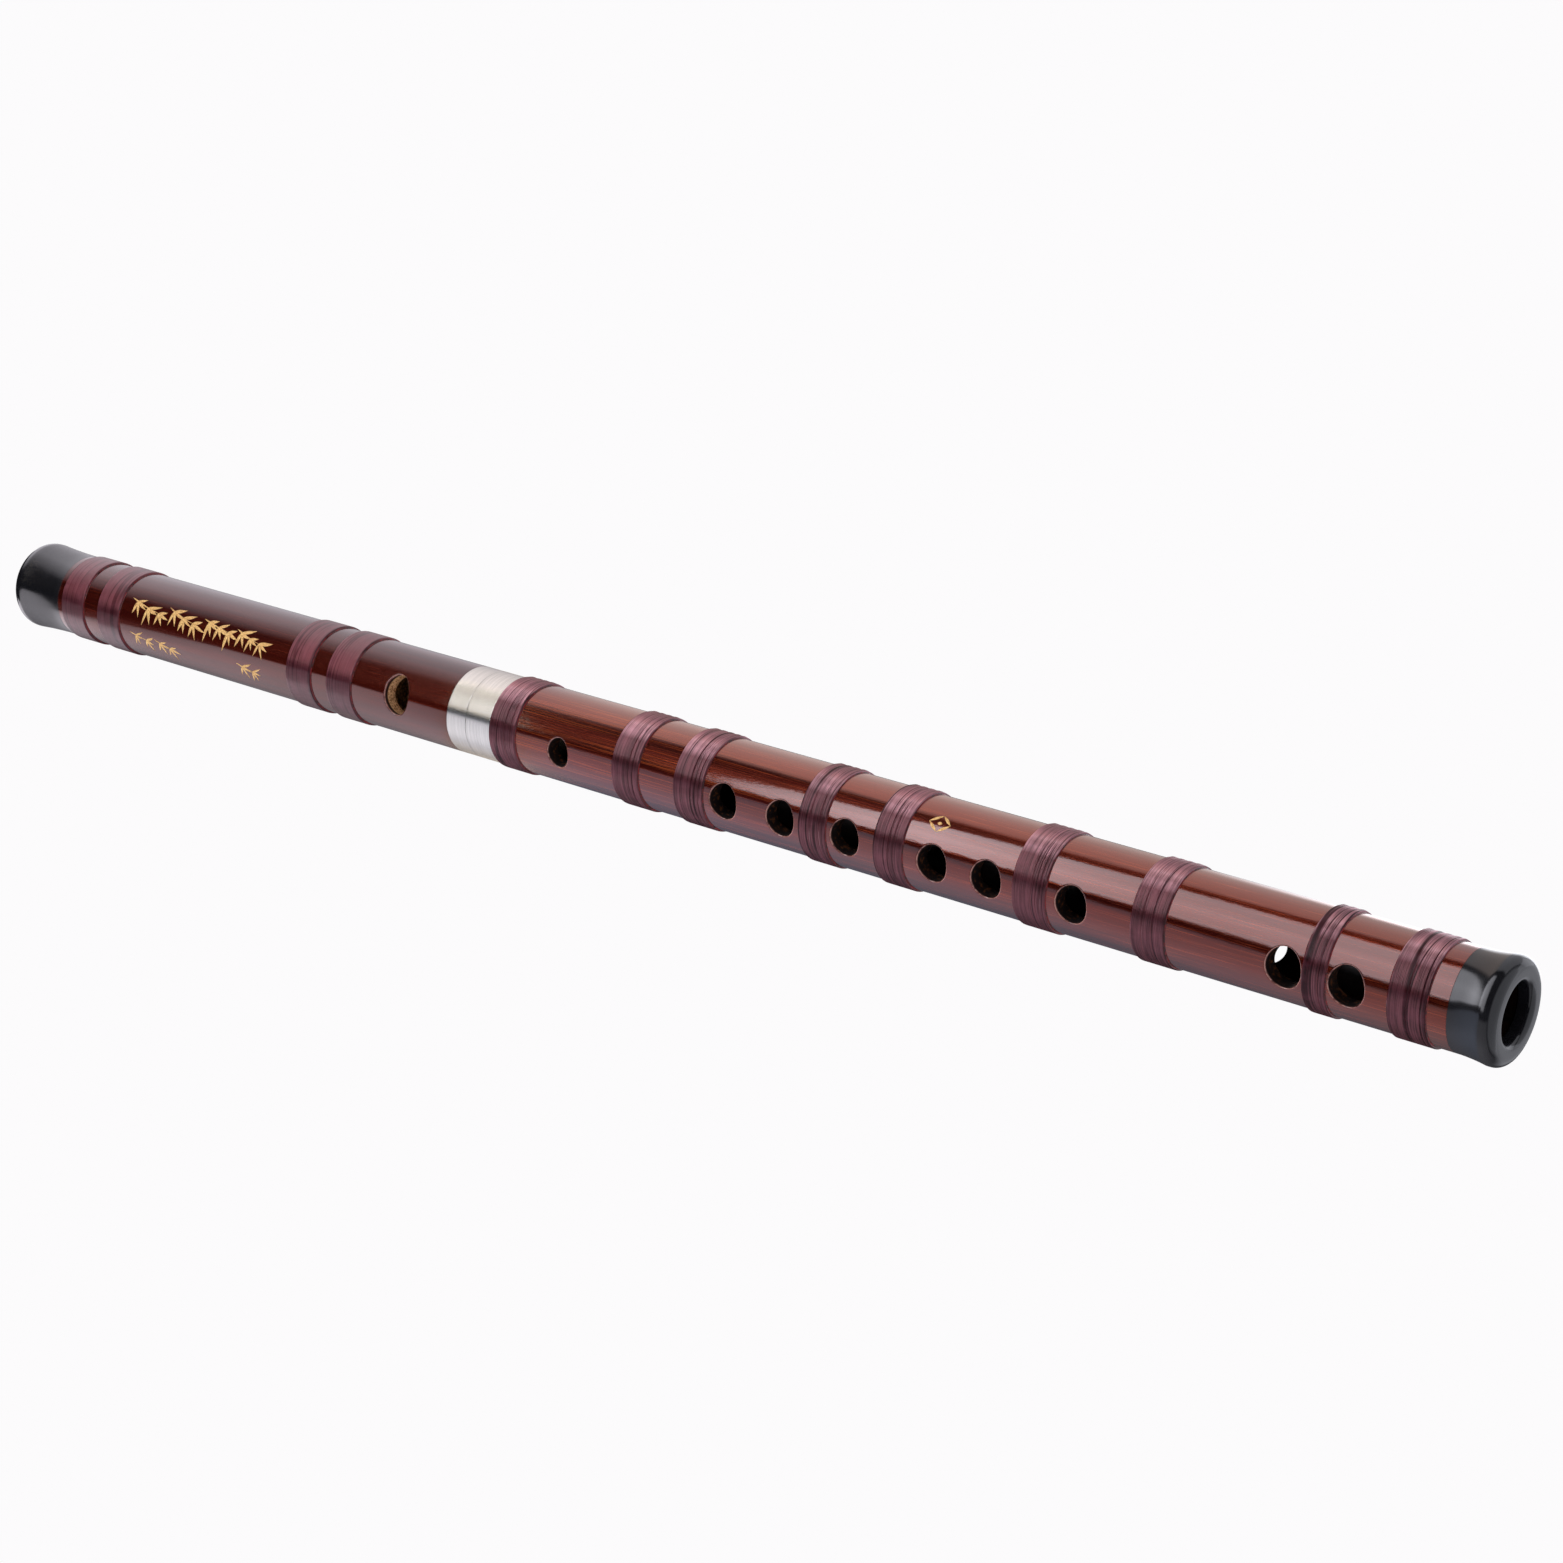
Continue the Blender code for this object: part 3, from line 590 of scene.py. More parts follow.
def drilledTube(name, outline, holes, phase, skins, body):
    around, radius, bore = tubes["around"], tubes["radius"], tubes["bore"]
    rimRound, boreRound = tubes["rimRound"], tubes["boreRimRound"]
    rows, patches = rowsAndPatches(outline, holes, phase)
    points, faces, faceSlots = [], [], []
    hidden = {(patch["firstRow"] + r, (patch["column"] + c) % around) for patch in patches
              for r in range(patch["across"]) for c in range(-patch["half"], patch["half"])}
    for i, row in enumerate(rows):
        points += ringAt(*row, around, phase)
        upper = (i + 1) % len(rows)
        inBore = max(row[1], rows[upper][1]) < radius - wallLeast
        for j in range(around):
            if (i, j) not in hidden:
                faces.append(faceBetween(i, upper, j, around))
                faceSlots.append(boreSlot if inBore else skinSlot)

    def join(one, other, index):
        for k in range(len(one)):
            after = (k + 1) % len(one)
            faces.append((one[k], one[after], other[after], other[k]))
            faceSlots.append(index)

    def carryOn(current, ring, index):
        added = range(len(points), len(points) + len(ring))
        points.extend(ring)
        join(current, added, index)
        return added

    for outer in [patch for patch in patches if patch["outside"]]:
        inner = next(p for p in patches if not p["outside"] and p["station"] == outer["station"])
        turn = outer["turn"]
        current, last = boundaryOf(outer), boundaryOf(inner)
        count = len(current)

        def carryRound(current, grow, atRadius, index):
            oval = ovalOf(outer, count, grow, atRadius)
            return carryOn(current, [onFlute(along, turn + lean, r) for along, lean, r in oval], index)

        places = [points[index] / millimetre for index in current]
        for ring in ringsTowards(places, ovalOf(outer, count, rimRound, radius), turn, radius):
            current = carryOn(current, ring, skinSlot)
        for k in range(1, tubes["rimSteps"] + 1):
            bend = math.pi / 2 * k / tubes["rimSteps"]
            current = carryRound(
                current, rimRound * (1 - math.sin(bend)), radius - rimRound * (1 - math.cos(bend)),
                skinSlot if k == 1 else rimSlot)
        top = ovalOf(outer, count, 0, radius - rimRound)
        bottom = ovalOf(outer, count, 0, bore + boreRound)
        for k in range(1, tubes["wallSteps"] + 1):
            ring = []
            for (along, leanTop, radiusTop), (_, leanBottom, radiusBottom) in zip(top, bottom):
                across = radiusTop * math.sin(math.radians(leanTop))
                upTop = radiusTop * math.cos(math.radians(leanTop))
                upBottom = radiusBottom * math.cos(math.radians(leanBottom))
                up = upTop + (upBottom - upTop) * k / tubes["wallSteps"]
                lean = math.degrees(math.atan2(across, up))
                ring.append(onFlute(along, turn + lean, math.hypot(across, up)))
            current = carryOn(current, ring, woodSlot)
        for k in range(1, tubes["boreRimSteps"] + 1):
            bend = math.pi / 2 * k / tubes["boreRimSteps"]
            current = carryRound(
                current, boreRound * (1 - math.cos(bend)), bore + boreRound * (1 - math.sin(bend)), woodSlot)
        places = [points[index] / millimetre for index in last]
        inwards = ringsTowards(places, ovalOf(outer, count, boreRound, bore), turn, bore)
        for ring in inwards[-2::-1]:
            current = carryOn(current, ring, boreSlot)
        join(current, last, boreSlot)
    return makePiece(name, points, faces, skins, body, [name], faceSlots)


bindingsOnHead = ["thread_binding_%02d" % n for n in range(1, 5)]
bindingsOnBody = ["thread_binding_%02d" % n for n in range(5, 14)]
headFerruleStart, headFerruleEnd = alongOf("head_ferrule")
bodyFerruleStart, bodyFerruleEnd = alongOf("body_ferrule")
skin, bore, joinRound = tubes["radius"], tubes["bore"], tubes["joinRound"]
capSpigot, ferruleSpigot = skin - tubes["capStep"], skin - tubes["ferruleStep"]

start, end = alongOf("head_tube")
underCap = alongOf("head_cap")[1] + tubes["joinGap"]
underFerrule = headFerruleStart - tubes["joinGap"]
tenonSeatEnd = alongOf("tenon_sleeve")[0] - tubes["sleeveGap"]
outline = [(start, bore, 0), (start, capSpigot, 0), (underCap, capSpigot, 0), (underCap, skin, joinRound)]
outline += seatedOutside(bindingsOnHead)
outline += [(underFerrule, skin, joinRound), (underFerrule, ferruleSpigot, 0), (end, ferruleSpigot, 0)]
outline += [(end, tubes["tenonSeat"], 0), (tenonSeatEnd, tubes["tenonSeat"], 0), (tenonSeatEnd, bore, 0)]
skins = [headSkin, blowHoleWood, boreSkin, rimHighlightSkin]
outline = rounded(outline, tubes["roundSteps"])
drilledTube("head_tube", outline, headHoles, headHoles[0][2], skins, "head_section")

start, end = alongOf("body_tube")
underCap = alongOf("tail_cap")[0] - tubes["joinGap"]
underFerrule = bodyFerruleEnd + tubes["ferruleGap"]
socketSeatEnd = alongOf("socket_sleeve")[1] + tubes["sleeveGap"]
outline = [(socketSeatEnd, bore, 0), (socketSeatEnd, tubes["socketSeat"], 0), (start, tubes["socketSeat"], 0)]
outline += [(start, ferruleSpigot, 0), (underFerrule, ferruleSpigot, 0)]
outline += [(underFerrule, skin - tubes["seatDepth"], 0)]
outline += seatedOutside(bindingsOnBody)[2:]   # the first seat runs out under the ferrule
outline += [(underCap, skin, joinRound), (underCap, capSpigot, 0), (end, capSpigot, 0), (end, bore, 0)]
skins = [bodySkin, fingerHoleWood, boreSkin, rimHighlightSkin]
outline = rounded(outline, tubes["roundSteps"])
drilledTube("body_tube", outline, bodyHoles, 0.0, skins, "lower_section")
print("Tubes made")

# Horn end caps: a slight flare to a rounded lip, and a mouth a little narrower than the bore.
caps = {
    "joinRadius": 12.1, "flare": 0.71, "flareSteps": 12, "wall": 1.7, "endWall": 3.8, "rimBand": 0.8,
    "lipRound": 2.8, "mouthRadius": 7.1, "mouthRound": 1.5,
    "joinRound": 0.03, "mouthBackRound": 0.2, "sleeveRound": 0.1, "roundSteps": 10, "around": 192,
}


def capOutline(openEnd, closedEnd):
    way = 1 if closedEnd > openEnd else -1
    length = abs(closedEnd - openEnd)
    flareLength = length - caps["lipRound"] - caps["rimBand"]
    corners = []
    for k in range(caps["flareSteps"] + 1):
        share = k / caps["flareSteps"]
        corners.append((
            flareLength * share, caps["joinRadius"] + caps["flare"] * share ** 2,
            caps["joinRound"] if k == 0 else 0))
    corners += [(length, caps["joinRadius"] + caps["flare"], caps["lipRound"])]
    corners += [(length, caps["mouthRadius"], caps["mouthRound"])]
    inside, sleeve = length - caps["endWall"], caps["joinRadius"] - caps["wall"]
    corners += [(inside, caps["mouthRadius"], caps["mouthBackRound"]), (inside, sleeve, 0)]
    corners += [(0, sleeve, caps["sleeveRound"])]
    return [(openEnd + way * along, radius) for along, radius in rounded(corners, caps["roundSteps"])]


start, end = alongOf("head_cap")
turnedPiece("head_cap", capOutline(end, start), horn["head_cap"], "head_section", caps["around"])
start, end = alongOf("tail_cap")
turnedPiece("tail_cap", capOutline(start, end), horn["tail_cap"], "lower_section", caps["around"])
print("Caps made")

# The slip joint: two rings that meet at the seam, the tenon glued in the head section, and the
# liner of the socket in the body section. Rounds are those of a sleeve's corners in turn.
joint = {
    "ferruleRadius": 12.1, "ferruleBore": 11.15, "flange": 1.0, "flangeBore": 8.9,
    "edge": 0.07, "flangeEdge": 0.05, "seam": 0.10, "roundSteps": 4,
    "tenonRadius": 8.6, "tenonBore": 7.6, "tenonRounds": (0.15, 0.4, 0.15, 0.15),
    "socketRadius": 9.7, "socketBore": 8.9, "socketRounds": (0.1, 0.1, 0.15, 0.25),
    "stopperRound": 0.8, "stopperCore": 0.01, "stopperAround": 64,
}


def ferruleOutline(seamEnd, farEnd):
    edge = joint["edge"]
    flange = seamEnd + math.copysign(joint["flange"], farEnd - seamEnd)
    corners = [(seamEnd, joint["ferruleRadius"], edge), (farEnd, joint["ferruleRadius"], edge)]
    corners += [(farEnd, joint["ferruleBore"], 0), (flange, joint["ferruleBore"], 0)]
    corners += [(flange, joint["flangeBore"], joint["flangeEdge"]), (seamEnd, joint["flangeBore"], edge)]
    return rounded(corners, joint["roundSteps"])


def sleeveOutline(node, kind):
    start, end = alongOf(node)
    outer, inner = joint[kind + "Radius"], joint[kind + "Bore"]
    places = [(start, outer), (end, outer), (end, inner), (start, inner)]
    corners = [(*place, rounding) for place, rounding in zip(places, joint[kind + "Rounds"])]
    return rounded(corners, joint["roundSteps"])


headRing = ferruleOutline(headFerruleEnd + joint["seam"], headFerruleStart)
bodyRing = ferruleOutline(bodyFerruleStart - joint["seam"], bodyFerruleEnd)
turnedPiece("head_ferrule", headRing, nickel, "head_section")
turnedPiece("body_ferrule", bodyRing, nickel, "lower_section")
tenonRing = sleeveOutline("tenon_sleeve", "tenon")
socketRing = sleeveOutline("socket_sleeve", "socket")
turnedPiece("tenon_sleeve", tenonRing, nickel, "tenon")
turnedPiece("socket_sleeve", socketRing, nickel, "lower_section")

start, end = alongOf("cork_stopper")
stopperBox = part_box("cork_stopper")
stopper = (stopperBox[1][1] - stopperBox[0][1]) / 2 / millimetre
core, rounding = joint["stopperCore"], joint["stopperRound"]
outline = rounded([(start, core, 0), (start, stopper, rounding), (end, stopper, rounding), (end, core, 0)],
                  joint["roundSteps"])
turnedPiece("cork_stopper", outline, cork, "head_section", joint["stopperAround"])
print("Joint and stopper made")

# Thread bindings, each wound turn beside turn from one end of its seat to the other.
windings = {
    "pitch": 0.34, "rowsPerTurn": 6, "around": 120, "outside": 12.62, "inside": 11.74,
    "headRelief": 0.014, "bodyRelief": 0.036, "valleyPower": 0.8, "shoulder": 0.26, "shoulderSteps": 5,
    # Shallow grooves round the bindings of the body, as shares of each one's length
    "grooveDepth": 0.09, "grooveWidth": 0.11,
    "grooves": [(0.60, 0.83), (0.66, 0.80), (0.62, 0.74, 0.86), (0.42, 0.78), (0.55, 0.70),
                (0.58, 0.72, 0.84), (0.35, 0.64), (0.7,), (0.5, 0.88)],
    # The lacquer's fillet against the tube at both ends
    "pool": 0.27, "poolSteps": 4, "poolSunk": 0.01,
    # A low ridge along the bindings of the body, as of the thread's end tucked under the turns
    "tuckTurn": 112, "tuckWide": 5.0, "tuckHigh": 0.17, "tuckPitch": 2.3, "tuckWave": 0.35,
}


def windingPiece(node, relief, grooves, tuckHigh, material, body):
    start, end = alongOf(node)
    length = end - start
    around, shoulder, ends = windings["around"], windings["shoulder"], windings["shoulderSteps"]
    rowCount = round(length / windings["pitch"] * windings["rowsPerTurn"])
    pitch = length / round(length / windings["pitch"])
    bends = [shoulder * (1 - math.cos(math.pi / 2 * k / ends)) for k in range(ends)]
    places = [start + bend for bend in bends]
    places += [start + shoulder + (length - 2 * shoulder) * k / rowCount for k in range(rowCount + 1)]
    places += [end - bend for bend in bends[::-1]]
    points, faces, faceSlots = [], [], []
    for along in places:
        inward = min(along - start, end - along)
        drop = 0.0
        if inward < shoulder:
            drop = shoulder - math.sqrt(max(0.0, shoulder ** 2 - (shoulder - inward) ** 2))
        for groove in grooves:
            away = (along - start - groove * length) / windings["grooveWidth"]
            drop += windings["grooveDepth"] * math.exp(-away ** 2)
        wave = windings["tuckWave"] * math.sin(math.tau * (along - start) / windings["tuckPitch"])
        tuckHere = tuckHigh * (1 - windings["tuckWave"] + wave) * min(1.0, inward / shoulder)
        for j in range(around):
            phase = (along - start) / pitch - j / around
            valley = 1 - abs(math.sin(math.pi * phase)) ** windings["valleyPower"]
            turn = 360 * j / around
            tuck = tuckHere * math.exp(-((turn - windings["tuckTurn"]) / windings["tuckWide"]) ** 2)
            points.append(onFlute(along, turn, windings["outside"] - drop - relief * valley + tuck))
    pool, steps = windings["pool"], windings["poolSteps"]
    fillet = []
    for k in range(steps):
        bend = math.pi / 2 * k / steps
        height = pool * (1 - math.cos(bend)) - windings["poolSunk"]
        fillet.append((pool * (1 - math.sin(bend)), tubes["radius"] + height))
    for away, radius in fillet[::-1]:
        points += ringAt(end + away, radius, around)
    points += ringAt(end, windings["inside"], around) + ringAt(start, windings["inside"], around)
    for away, radius in fillet:
        points += ringAt(start - away, radius, around)
    rows = len(points) // around
    for i in range(rows):
        faces += [faceBetween(i, (i + 1) % rows, j, around) for j in range(around)]
        faceSlots += [0 if i < len(places) - 1 else 1] * around
    return makePiece(node, points, faces, [material, pooled], body, [node], faceSlots)


for node in bindingsOnHead:
    windingPiece(node, windings["headRelief"], (), 0.0, threadOnHead, "head_section")
for node, grooves in zip(bindingsOnBody, windings["grooves"]):
    windingPiece(node, windings["bodyRelief"], grooves, windings["tuckHigh"], threadOnBody, "lower_section")
print("Bindings wound")

# Gold ornament on the head section: bamboo sprigs of lance-shaped leaves, painted by hand.
ornament = {
    "surface": 12.106, "rise": 0.05, "lift": 0.012, "samples": 12, "thinnest": 0.06,
    "section": ((-1, 0.0), (-0.5, 0.75), (0, 1.0), (0.5, 0.75), (1, 0.0)),
    "stemWidth": 0.46, "stemTaper": 0.5, "leafLength": 5.0, "leafWidth": 1.0, "leafTaper": 0.75,
    # Leaves fan out from each tuft by these turns from its stem, with a little stray
    "firstTuft": 0.55, "leafLean": -18, "fans": (-62, -24, 8, 44), "stray": 12,
    "lengthLeast": 0.72, "lengthSpread": 0.5, "widthLeast": 0.8, "widthSpread": 0.35,
    "bendUp": 18, "bendDown": -14,
}


# A brush stroke along a bent centre line, swelling and closing to a point at its ends
def addStroke(points, faces, start, heading, length, width, bend, taper):
    samples, surface = ornament["samples"], ornament["surface"]
    along, around = start
    angle = math.radians(heading)
    rows = []
    for k in range(samples + 1):
        swell = max(ornament["thinnest"], math.sin(math.pi * (k / samples) ** taper)) * width / 2
        ring = []
        for side, rise in ornament["section"]:
            place = (along - math.sin(angle) * swell * side, around + math.cos(angle) * swell * side)
            ring.append((place, surface + ornament["lift"] + ornament["rise"] * rise))
        ring += [(ring[-1][0], surface), (ring[0][0], surface)]
        rows.append(len(points))
        for (x, arc), radius in ring:
            points.append(onFlute(headEnd + x, math.degrees(arc / tubes["radius"]), radius))
        along += math.cos(angle) * length / samples
        around += math.sin(angle) * length / samples
        angle += math.radians(bend) / samples
    size = len(ornament["section"]) + 2
    for first, following in zip(rows, rows[1:]):
        for c in range(size):
            beside = (c + 1) % size
            faces.append((first + c, first + beside, following + beside, following + c))
    faces.append(tuple(rows[0] + c for c in range(size)))
    faces.append(tuple(rows[-1] + c for c in range(size))[::-1])


# Sprigs: the station and arc where each stem starts, its heading, length and bend, how many
# tufts of leaves hang from it, and its size
sprigs = [
    ((51.5, 8.6), -16, 15.0, 12, 3, 1.0), ((67.5, 8.8), -20, 13.5, 16, 3, 1.0),
    ((82.5, 8.4), -14, 13.0, 10, 3, 1.0), ((96.5, 8.2), -20, 12.0, 16, 3, 0.95),
    ((52.5, -1.6), -16, 9.0, 12, 2, 0.72), ((63.0, -2.0), -18, 8.5, 14, 2, 0.72),
    ((98.0, -1.6), -16, 8.5, 12, 2, 0.72),
]
points, faces = [], []
for start, heading, length, bend, tufts, size in sprigs:
    stemWidth = ornament["stemWidth"] * size
    addStroke(points, faces, start, heading, length, stemWidth, bend, ornament["stemTaper"])
    for k in range(tufts):
        share = (k + ornament["firstTuft"]) / tufts
        turned = math.radians(heading + bend * share / 2)
        place = (start[0] + math.cos(turned) * length * share, start[1] + math.sin(turned) * length * share)
        for fan in ornament["fans"]:
            lean = heading + ornament["leafLean"] + fan + ornament["stray"] * (random.random() - 0.5)
            reach = ornament["lengthLeast"] + ornament["lengthSpread"] * random.random()
            width = ornament["widthLeast"] + ornament["widthSpread"] * random.random()
            addStroke(
                points, faces, place, lean, ornament["leafLength"] * size * reach,
                ornament["leafWidth"] * size * width,
                ornament["bendUp"] if fan > 0 else ornament["bendDown"], ornament["leafTaper"])
makePiece("gold_sprigs", points, faces, [gold], "head_section")

# A small plain lozenge with a dot, in the same gold, on the body section
lozenge = {"centre": (341.8, 10.4), "long": 3.1, "high": 2.3, "line": 0.75, "dotLong": 1.4, "dotWide": 0.9}
points, faces = [], []
station, arc = lozenge["centre"]
corners = [(lozenge["long"], 0.0), (0.0, lozenge["high"]), (-lozenge["long"], 0.0), (0.0, -lozenge["high"])]
for (x0, a0), (x1, a1) in zip(corners, corners[1:] + corners[:1]):
    heading = math.degrees(math.atan2(a1 - a0, x1 - x0))
    reach = math.hypot(x1 - x0, a1 - a0)
    addStroke(points, faces, (station + x0, arc + a0), heading, reach, lozenge["line"], 0, 1.0)
dotStart = (station - lozenge["dotLong"] / 2, arc)
addStroke(points, faces, dotStart, 0, lozenge["dotLong"], lozenge["dotWide"], 0, 1.0)
makePiece("gold_lozenge", points, faces, [gold], "lower_section")
print("Gold ornament made")

# A white floor that gives off its own light, as a lit table does, so it takes no shadow.
floorLook = {"size": 60.0, "colour": "#fcfbfc", "strength": 1.0}
reach = floorLook["size"] / 2
mesh = bpy.data.meshes.new("floor")
corners = [(-reach, -reach, 0), (reach, -reach, 0), (reach, reach, 0), (-reach, reach, 0)]
mesh.from_pydata(corners, [], [(0, 1, 2, 3)])
floor = bpy.data.objects.new("floor", mesh)
bpy.context.scene.collection.objects.link(floor)
material, tree, coords = newMaterial("litTable")
mesh.materials.append(finished(material, addNode(tree, "Emission", {
    "Color": floorLook["colour"], "Strength": floorLook["strength"]})))
floor.visible_glossy = False
floor.visible_shadow = False

world = bpy.data.worlds.new("studio")
bpy.context.scene.world = world
world.use_nodes = True
background = world.node_tree.nodes["Background"]
background.inputs["Color"].default_value = hexColour(floorLook["colour"])
background.inputs["Strength"].default_value = floorLook["strength"]
world.cycles_visibility.glossy = False
world.cycles_visibility.diffuse = False

# Curved diffusers hang round the flute, bent about its long axis. Each is a grid of turns and
# stations along X, in millimetres, with its colour and how bright it is at each: a list has a
# value for each station, and a single value serves them all. They are nets that let light
# through, so where two overlap their light adds up.
tent = {"distance": 1200.0, "spacing": 8.0, "strength": 1.0, "softSteps": 8, "fallSteps": 24}
plainCard = {
    "profile": [(0.0, 0.0), (1.0, 1.0)], "fall": [(0.0, 1.0), (1.0, 1.0)], "diffuse": False,
}
diffusers = {
    "backDiffuser": {
        "along": [-2600, -1600, -1565, -1530, -1300, -1120, -1050, -1000, -960, -700, -500, -300,
                  -262, 100, 900],
        "low": [44, 44, 44, 46, 58, 66, 70, 72, 76, 84, 92, 97, 97, 97, 97],
        "soft": [52, 52, 50, 49, 42, 33, 21, 16, 12, 8, 6, 5, 5, 5, 5],
        "high": 190,
        "bright": [2.2, 2.1, 1.8, 1.25, 1.08, 1.04, 1.08, 1.25, 1.36, 1.36, 1.15, 1.15, 1.0, 1.0, 1.0],
        "colour": ["#fbf6ff"] * 7 + ["#fff2ee", "#ffeeea", "#ffeae4", "#ffeee8", "#fff4f2"] + ["#f6f6ff"] * 3,
        "profile": [(0.0, 0.0), (0.35, 0.45), (0.7, 0.75), (1.0, 1.0)],
        "fall": [(0.0, 1.08), (0.2, 1.0), (0.45, 0.86), (0.75, 0.67), (1.0, 0.42)],
        "diffuse": True,
    },
    # The lower light on the body, weaker where the bright ferrules see it
    "frontDiffuser": {
        "along": [-1242, -1124, -1110, -1104, -1054, -1046, -1000, -900, -700, -500, -400, -300,
                  -262, -100, 300, 900],
        "low": [-4, -2, -2, -2, -1, -1, 0, 0, 5, 1, -2, -6, -6, -6, -6, -6],
        "soft": [5, 4, 4, 4, 4, 4, 3, 3, 3, 3, 3, 5, 5, 5, 5, 5],
        "high": -175,
        "bright": [0.0, 1.3, 1.3, 0.84, 0.84, 1.3, 1.26, 1.18, 1.2, 1.0, 0.95, 0.80, 0.75, 0.75, 0.7, 0.6],
        "colour": ["#fbf2ff"] * 2 + ["#ffe8d0"] * 3 + ["#f2f2ff", "#d5e0ff", "#d5e0ff", "#dae5ff", "#dce6ff"]
                  + ["#e4eaff", "#f2f0ff"] + ["#f8f6ff"] * 4,
        "profile": [(0.0, 0.0), (0.5, 0.55), (1.0, 0.8)],
        "fall": [(0.0, 0.8), (0.2, 0.92), (0.31, 0.98), (0.43, 0.72), (0.54, 0.42), (0.66, 0.2), (0.8, 0.1),
                 (1.0, 0.06)],
        "diffuse": True,
    },
    "headFrontDiffuser": {
        "along": [-2600, -1600, -1565, -1535, -1438, -1368, -1242, -1124],
        "low": [-46, -43, -39, -31, -15, -7, -2, -2],
        "soft": [14, 14, 13, 11, 7, 6, 5, 4],
        "high": -175,
        "bright": [3.0, 2.8, 2.3, 1.15, 1.3, 1.6, 1.5, 0.0],
        "colour": "#fbf6ff",
        "profile": [(0.0, 0.0), (0.4, 0.7), (1.0, 0.95)],
        "fall": [(0.0, 0.95), (0.1, 0.98), (0.25, 0.78), (0.375, 0.55), (0.5, 0.35), (0.625, 0.18),
                 (0.8, 0.1), (1.0, 0.08)],
        "diffuse": True,
    },
    "keyDiffuser": {
        **plainCard,
        "along": [-860, -830, -800, -711, -668, -626, -508, -441, -312, -160, -130],
        "low": [17, 17, 17, 15, 15, 15, 15, 14, 9, 8, 8],
        "soft": [3, 3, 3, 3, 3, 3, 4, 6, 6, 5, 5],
        "high": [30, 42, 50, 60, 67, 72, 81, 83, 85, 86, 86],
        "bright": [4.4, 4.9, 5.6, 7.2, 7.2, 6.2, 4.6, 4.3, 4.6, 3.6, 2.1],
        "colour": "#f6f6ff",
        "fall": [(0.0, 0.82), (0.2, 0.88), (0.45, 1.0), (0.65, 0.86), (0.9, 0.86), (1.0, 0.7)],
    },
    "rimDiffuser": {
        **plainCard, "along": [-500, -400, -300, 200], "low": 160, "soft": 14, "high": 200,
        "bright": [0.0, 1.0, 2.3, 2.4], "colour": "#f6f8ff",
    },
    "floorDiffuser": {
        **plainCard, "along": [150, 450, 1000, 1300], "low": -112, "soft": 24, "high": -200,
        "bright": [0.0, 0.78, 0.78, 0.78], "colour": "#f4f6ff",
    },
    # A narrow, bright card over the ferrules; a little of it spills onto the lacquer beside them
    "ferruleDiffuser": {
        **plainCard, "along": [-1150, -1136, -1102, -1092], "low": 10, "soft": 5, "high": 96,
        "bright": [0.0, 5.5, 5.2, 0.0], "colour": "#fff2e0",
        "fall": [(0.0, 1.0), (0.5, 1.0), (0.68, 1.16), (0.8, 1.0), (1.0, 0.2)],
    },
    "ferruleFloorDiffuser": {
        **plainCard, "along": [-1150, -1136, -1096, -1084], "low": -72, "soft": 20, "high": -170,
        "bright": [0.0, 1.08, 1.08, 0.0], "colour": "#ffeede", "fall": [(0.0, 1.0), (0.4, 0.9), (1.0, 0.3)],
    },
    # Closes the tent beyond the tail end, where the rounded lip and the bindings' ends see it
    "endDiffuser": {
        **plainCard, "along": [900, 1300, 1500, 1560], "reach": [1190, 1190, 700, 5], "low": 0, "soft": 30,
        "high": 360, "bright": [0.0, 0.85, 0.85, 0.85], "colour": "#f4f6ff",
        "profile": [(0.0, 1.0), (1.0, 1.0)], "diffuse": True,
    },
    # Light from above that the gloss doesn't show: it fills the holes and the dark lacquer
    "topDiffuser": {
        **plainCard, "along": [-1700, -1500, 500, 700], "low": -62, "soft": 10, "high": 84,
        "bright": [0.0, 1.0, 1.0, 0.0], "colour": "#ffffff",
        "fall": [(0.0, 1.0), (0.9, 1.0), (1.0, 0.0)], "diffuse": True, "glossy": False,
    },
}


def readCurve(curve, place):
    for (x0, y0), (x1, y1) in zip(curve, curve[1:]):
        if place <= x1:
            return y0 + (y1 - y0) * (place - x0) / (x1 - x0)
    return curve[-1][1]


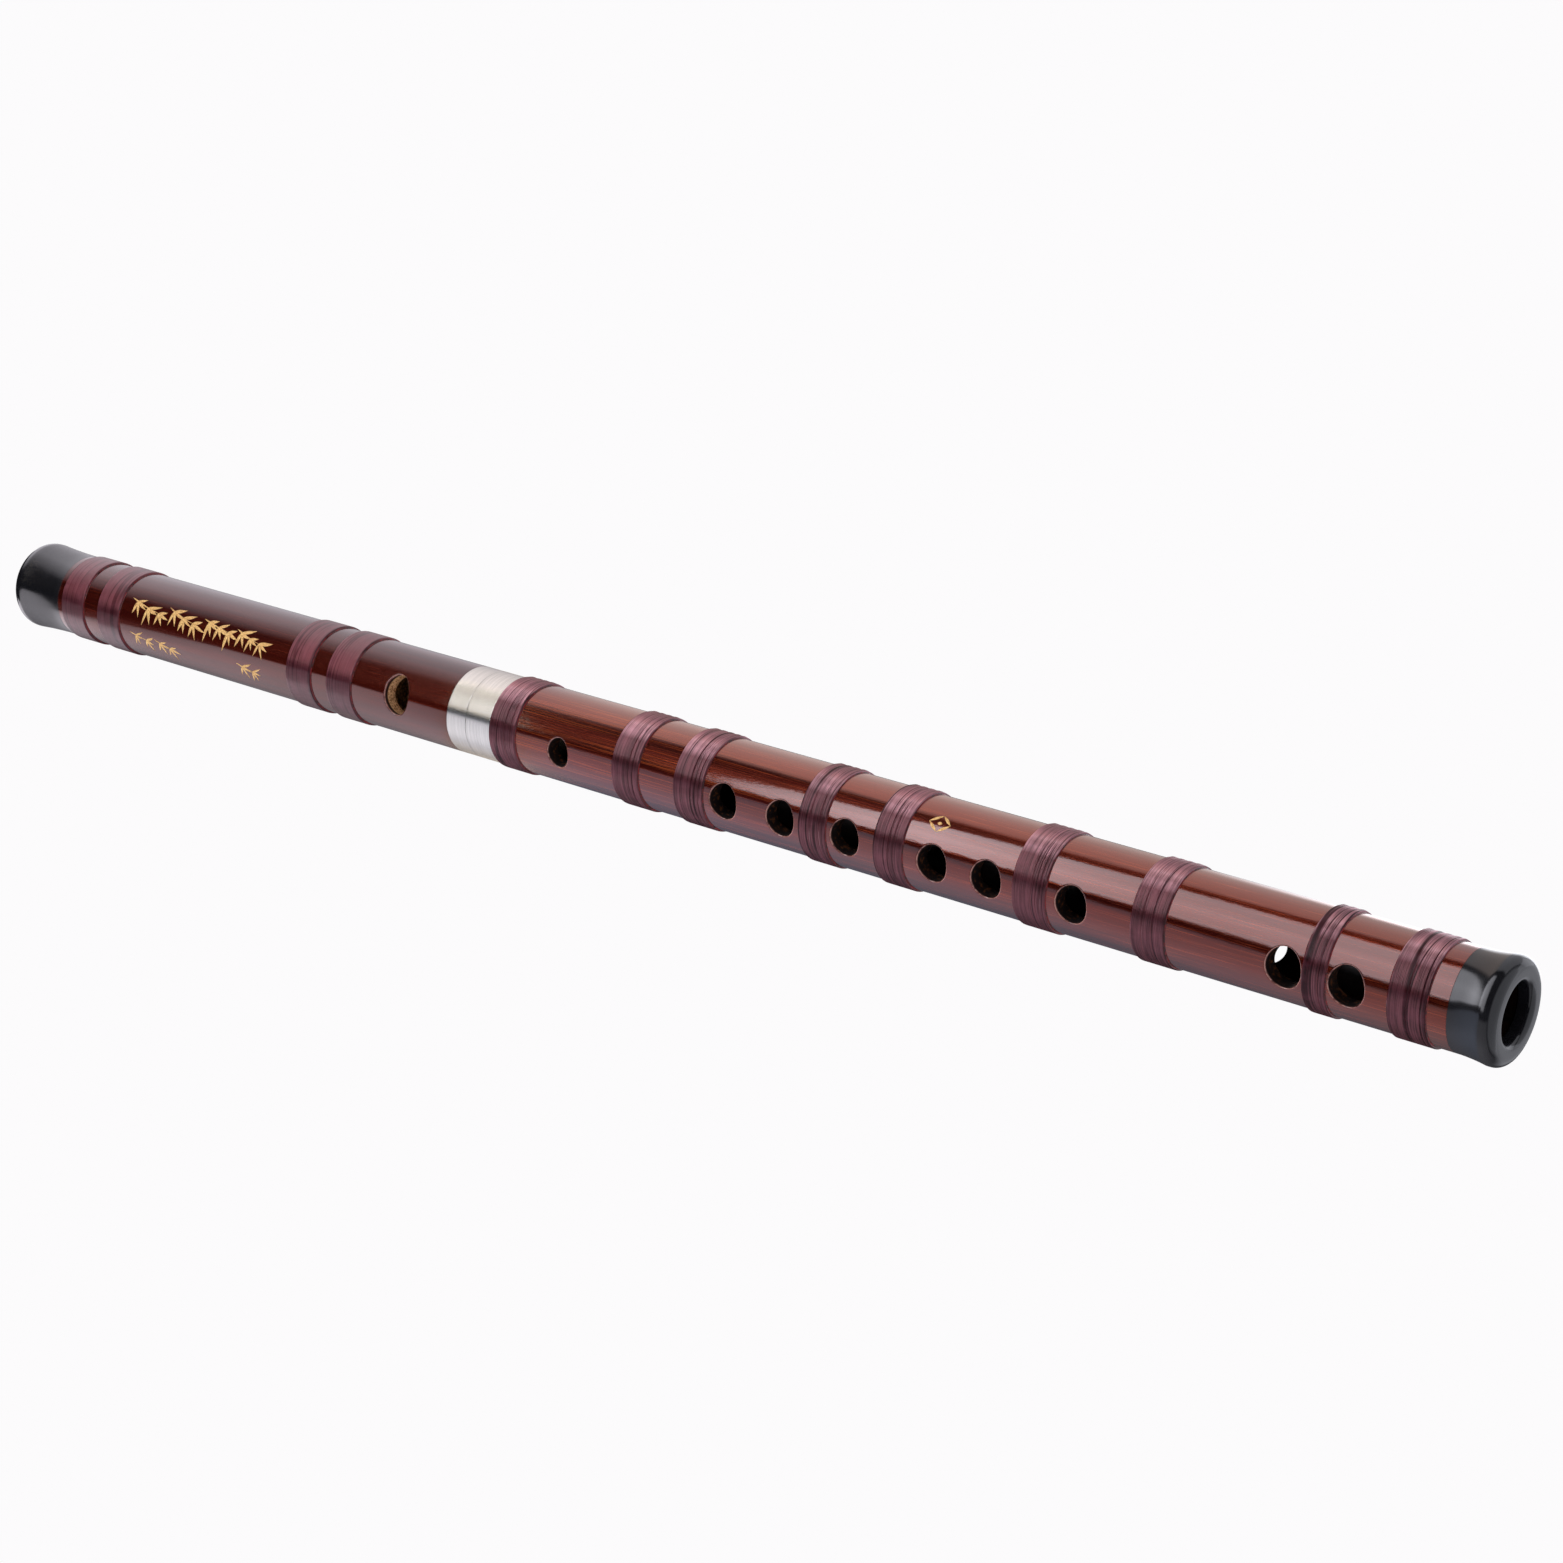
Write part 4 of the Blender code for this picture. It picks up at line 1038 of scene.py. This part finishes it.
def addDiffuser(name, look, distance):
    points, glows, faces = [], [], []
    softSteps, fallSteps = tent["softSteps"], tent["fallSteps"]
    width = softSteps + fallSteps + 1
    for i, along in enumerate(look["along"]):
        values = [look[key] for key in ("low", "soft", "high", "bright", "colour")]
        values.append(look.get("reach", distance))
        low, soft, high, bright, colour, reach = [
            value[i] if isinstance(value, list) else value for value in values]
        way = 1 if high > low else -1
        for k in range(width):
            if k <= softSteps:
                turn = low + way * soft * k / softSteps
                level = readCurve(look["profile"], k / softSteps)
            else:
                share = (k - softSteps) / fallSteps
                turn = low + way * soft + (high - low - way * soft) * share
                level = readCurve(look["fall"], share)
            points.append(onFlute(along, turn, reach))
            shade = hexColour(colour)[:3]
            glows.append([channel * level * bright * tent["strength"] for channel in shade] + [1.0])
        if i:
            faces += [faceBetween(i - 1, i, k, width) for k in range(width - 1)]
    mesh = bpy.data.meshes.new(name)
    mesh.from_pydata(points, [], faces)
    levels = mesh.attributes.new("glow", "FLOAT_COLOR", "POINT")
    for item, glow in zip(levels.data, glows):
        item.color = glow
    diffuser = bpy.data.objects.new(name, mesh)
    bpy.context.scene.collection.objects.link(diffuser)
    material, tree, coords = newMaterial(name)
    level = addNode(tree, "Attribute", attribute_name="glow")
    light = addNode(tree, "Emission", {"Color": level, "Strength": 1.0})
    both = addNode(tree, "AddShader", {0: light, 1: addNode(tree, "BsdfTransparent")})
    mesh.materials.append(finished(material, both))
    diffuser.visible_camera = False
    diffuser.visible_shadow = False
    diffuser.visible_diffuse = look["diffuse"]
    diffuser.visible_glossy = look.get("glossy", True)


for number, (name, look) in enumerate(diffusers.items()):
    addDiffuser(name, look, tent["distance"] + number * tent["spacing"])
print("Floor and light set")

# The camera, fitted to the outline of the flute and the edges of its bindings
cameraLook = {
    "location": (510.037, 280.652, 614.698), "rotation": (-18.9732, 38.3260, 1.4938),
    "lens": 73.7044, "sensor": 36.0, "nearest": 0.01, "farthest": 100.0,
}
camera = bpy.data.objects.new("camera", bpy.data.cameras.new("camera"))
camera.location = Vector(cameraLook["location"]) * millimetre
camera.rotation_euler = [math.radians(angle) for angle in cameraLook["rotation"]]
camera.data.lens = cameraLook["lens"]
camera.data.sensor_width = cameraLook["sensor"]
camera.data.clip_start = cameraLook["nearest"]
camera.data.clip_end = cameraLook["farthest"]
bpy.context.scene.collection.objects.link(camera)
bpy.context.scene.camera = camera
bpy.context.scene.view_settings.view_transform = "Standard"
print("Camera set")
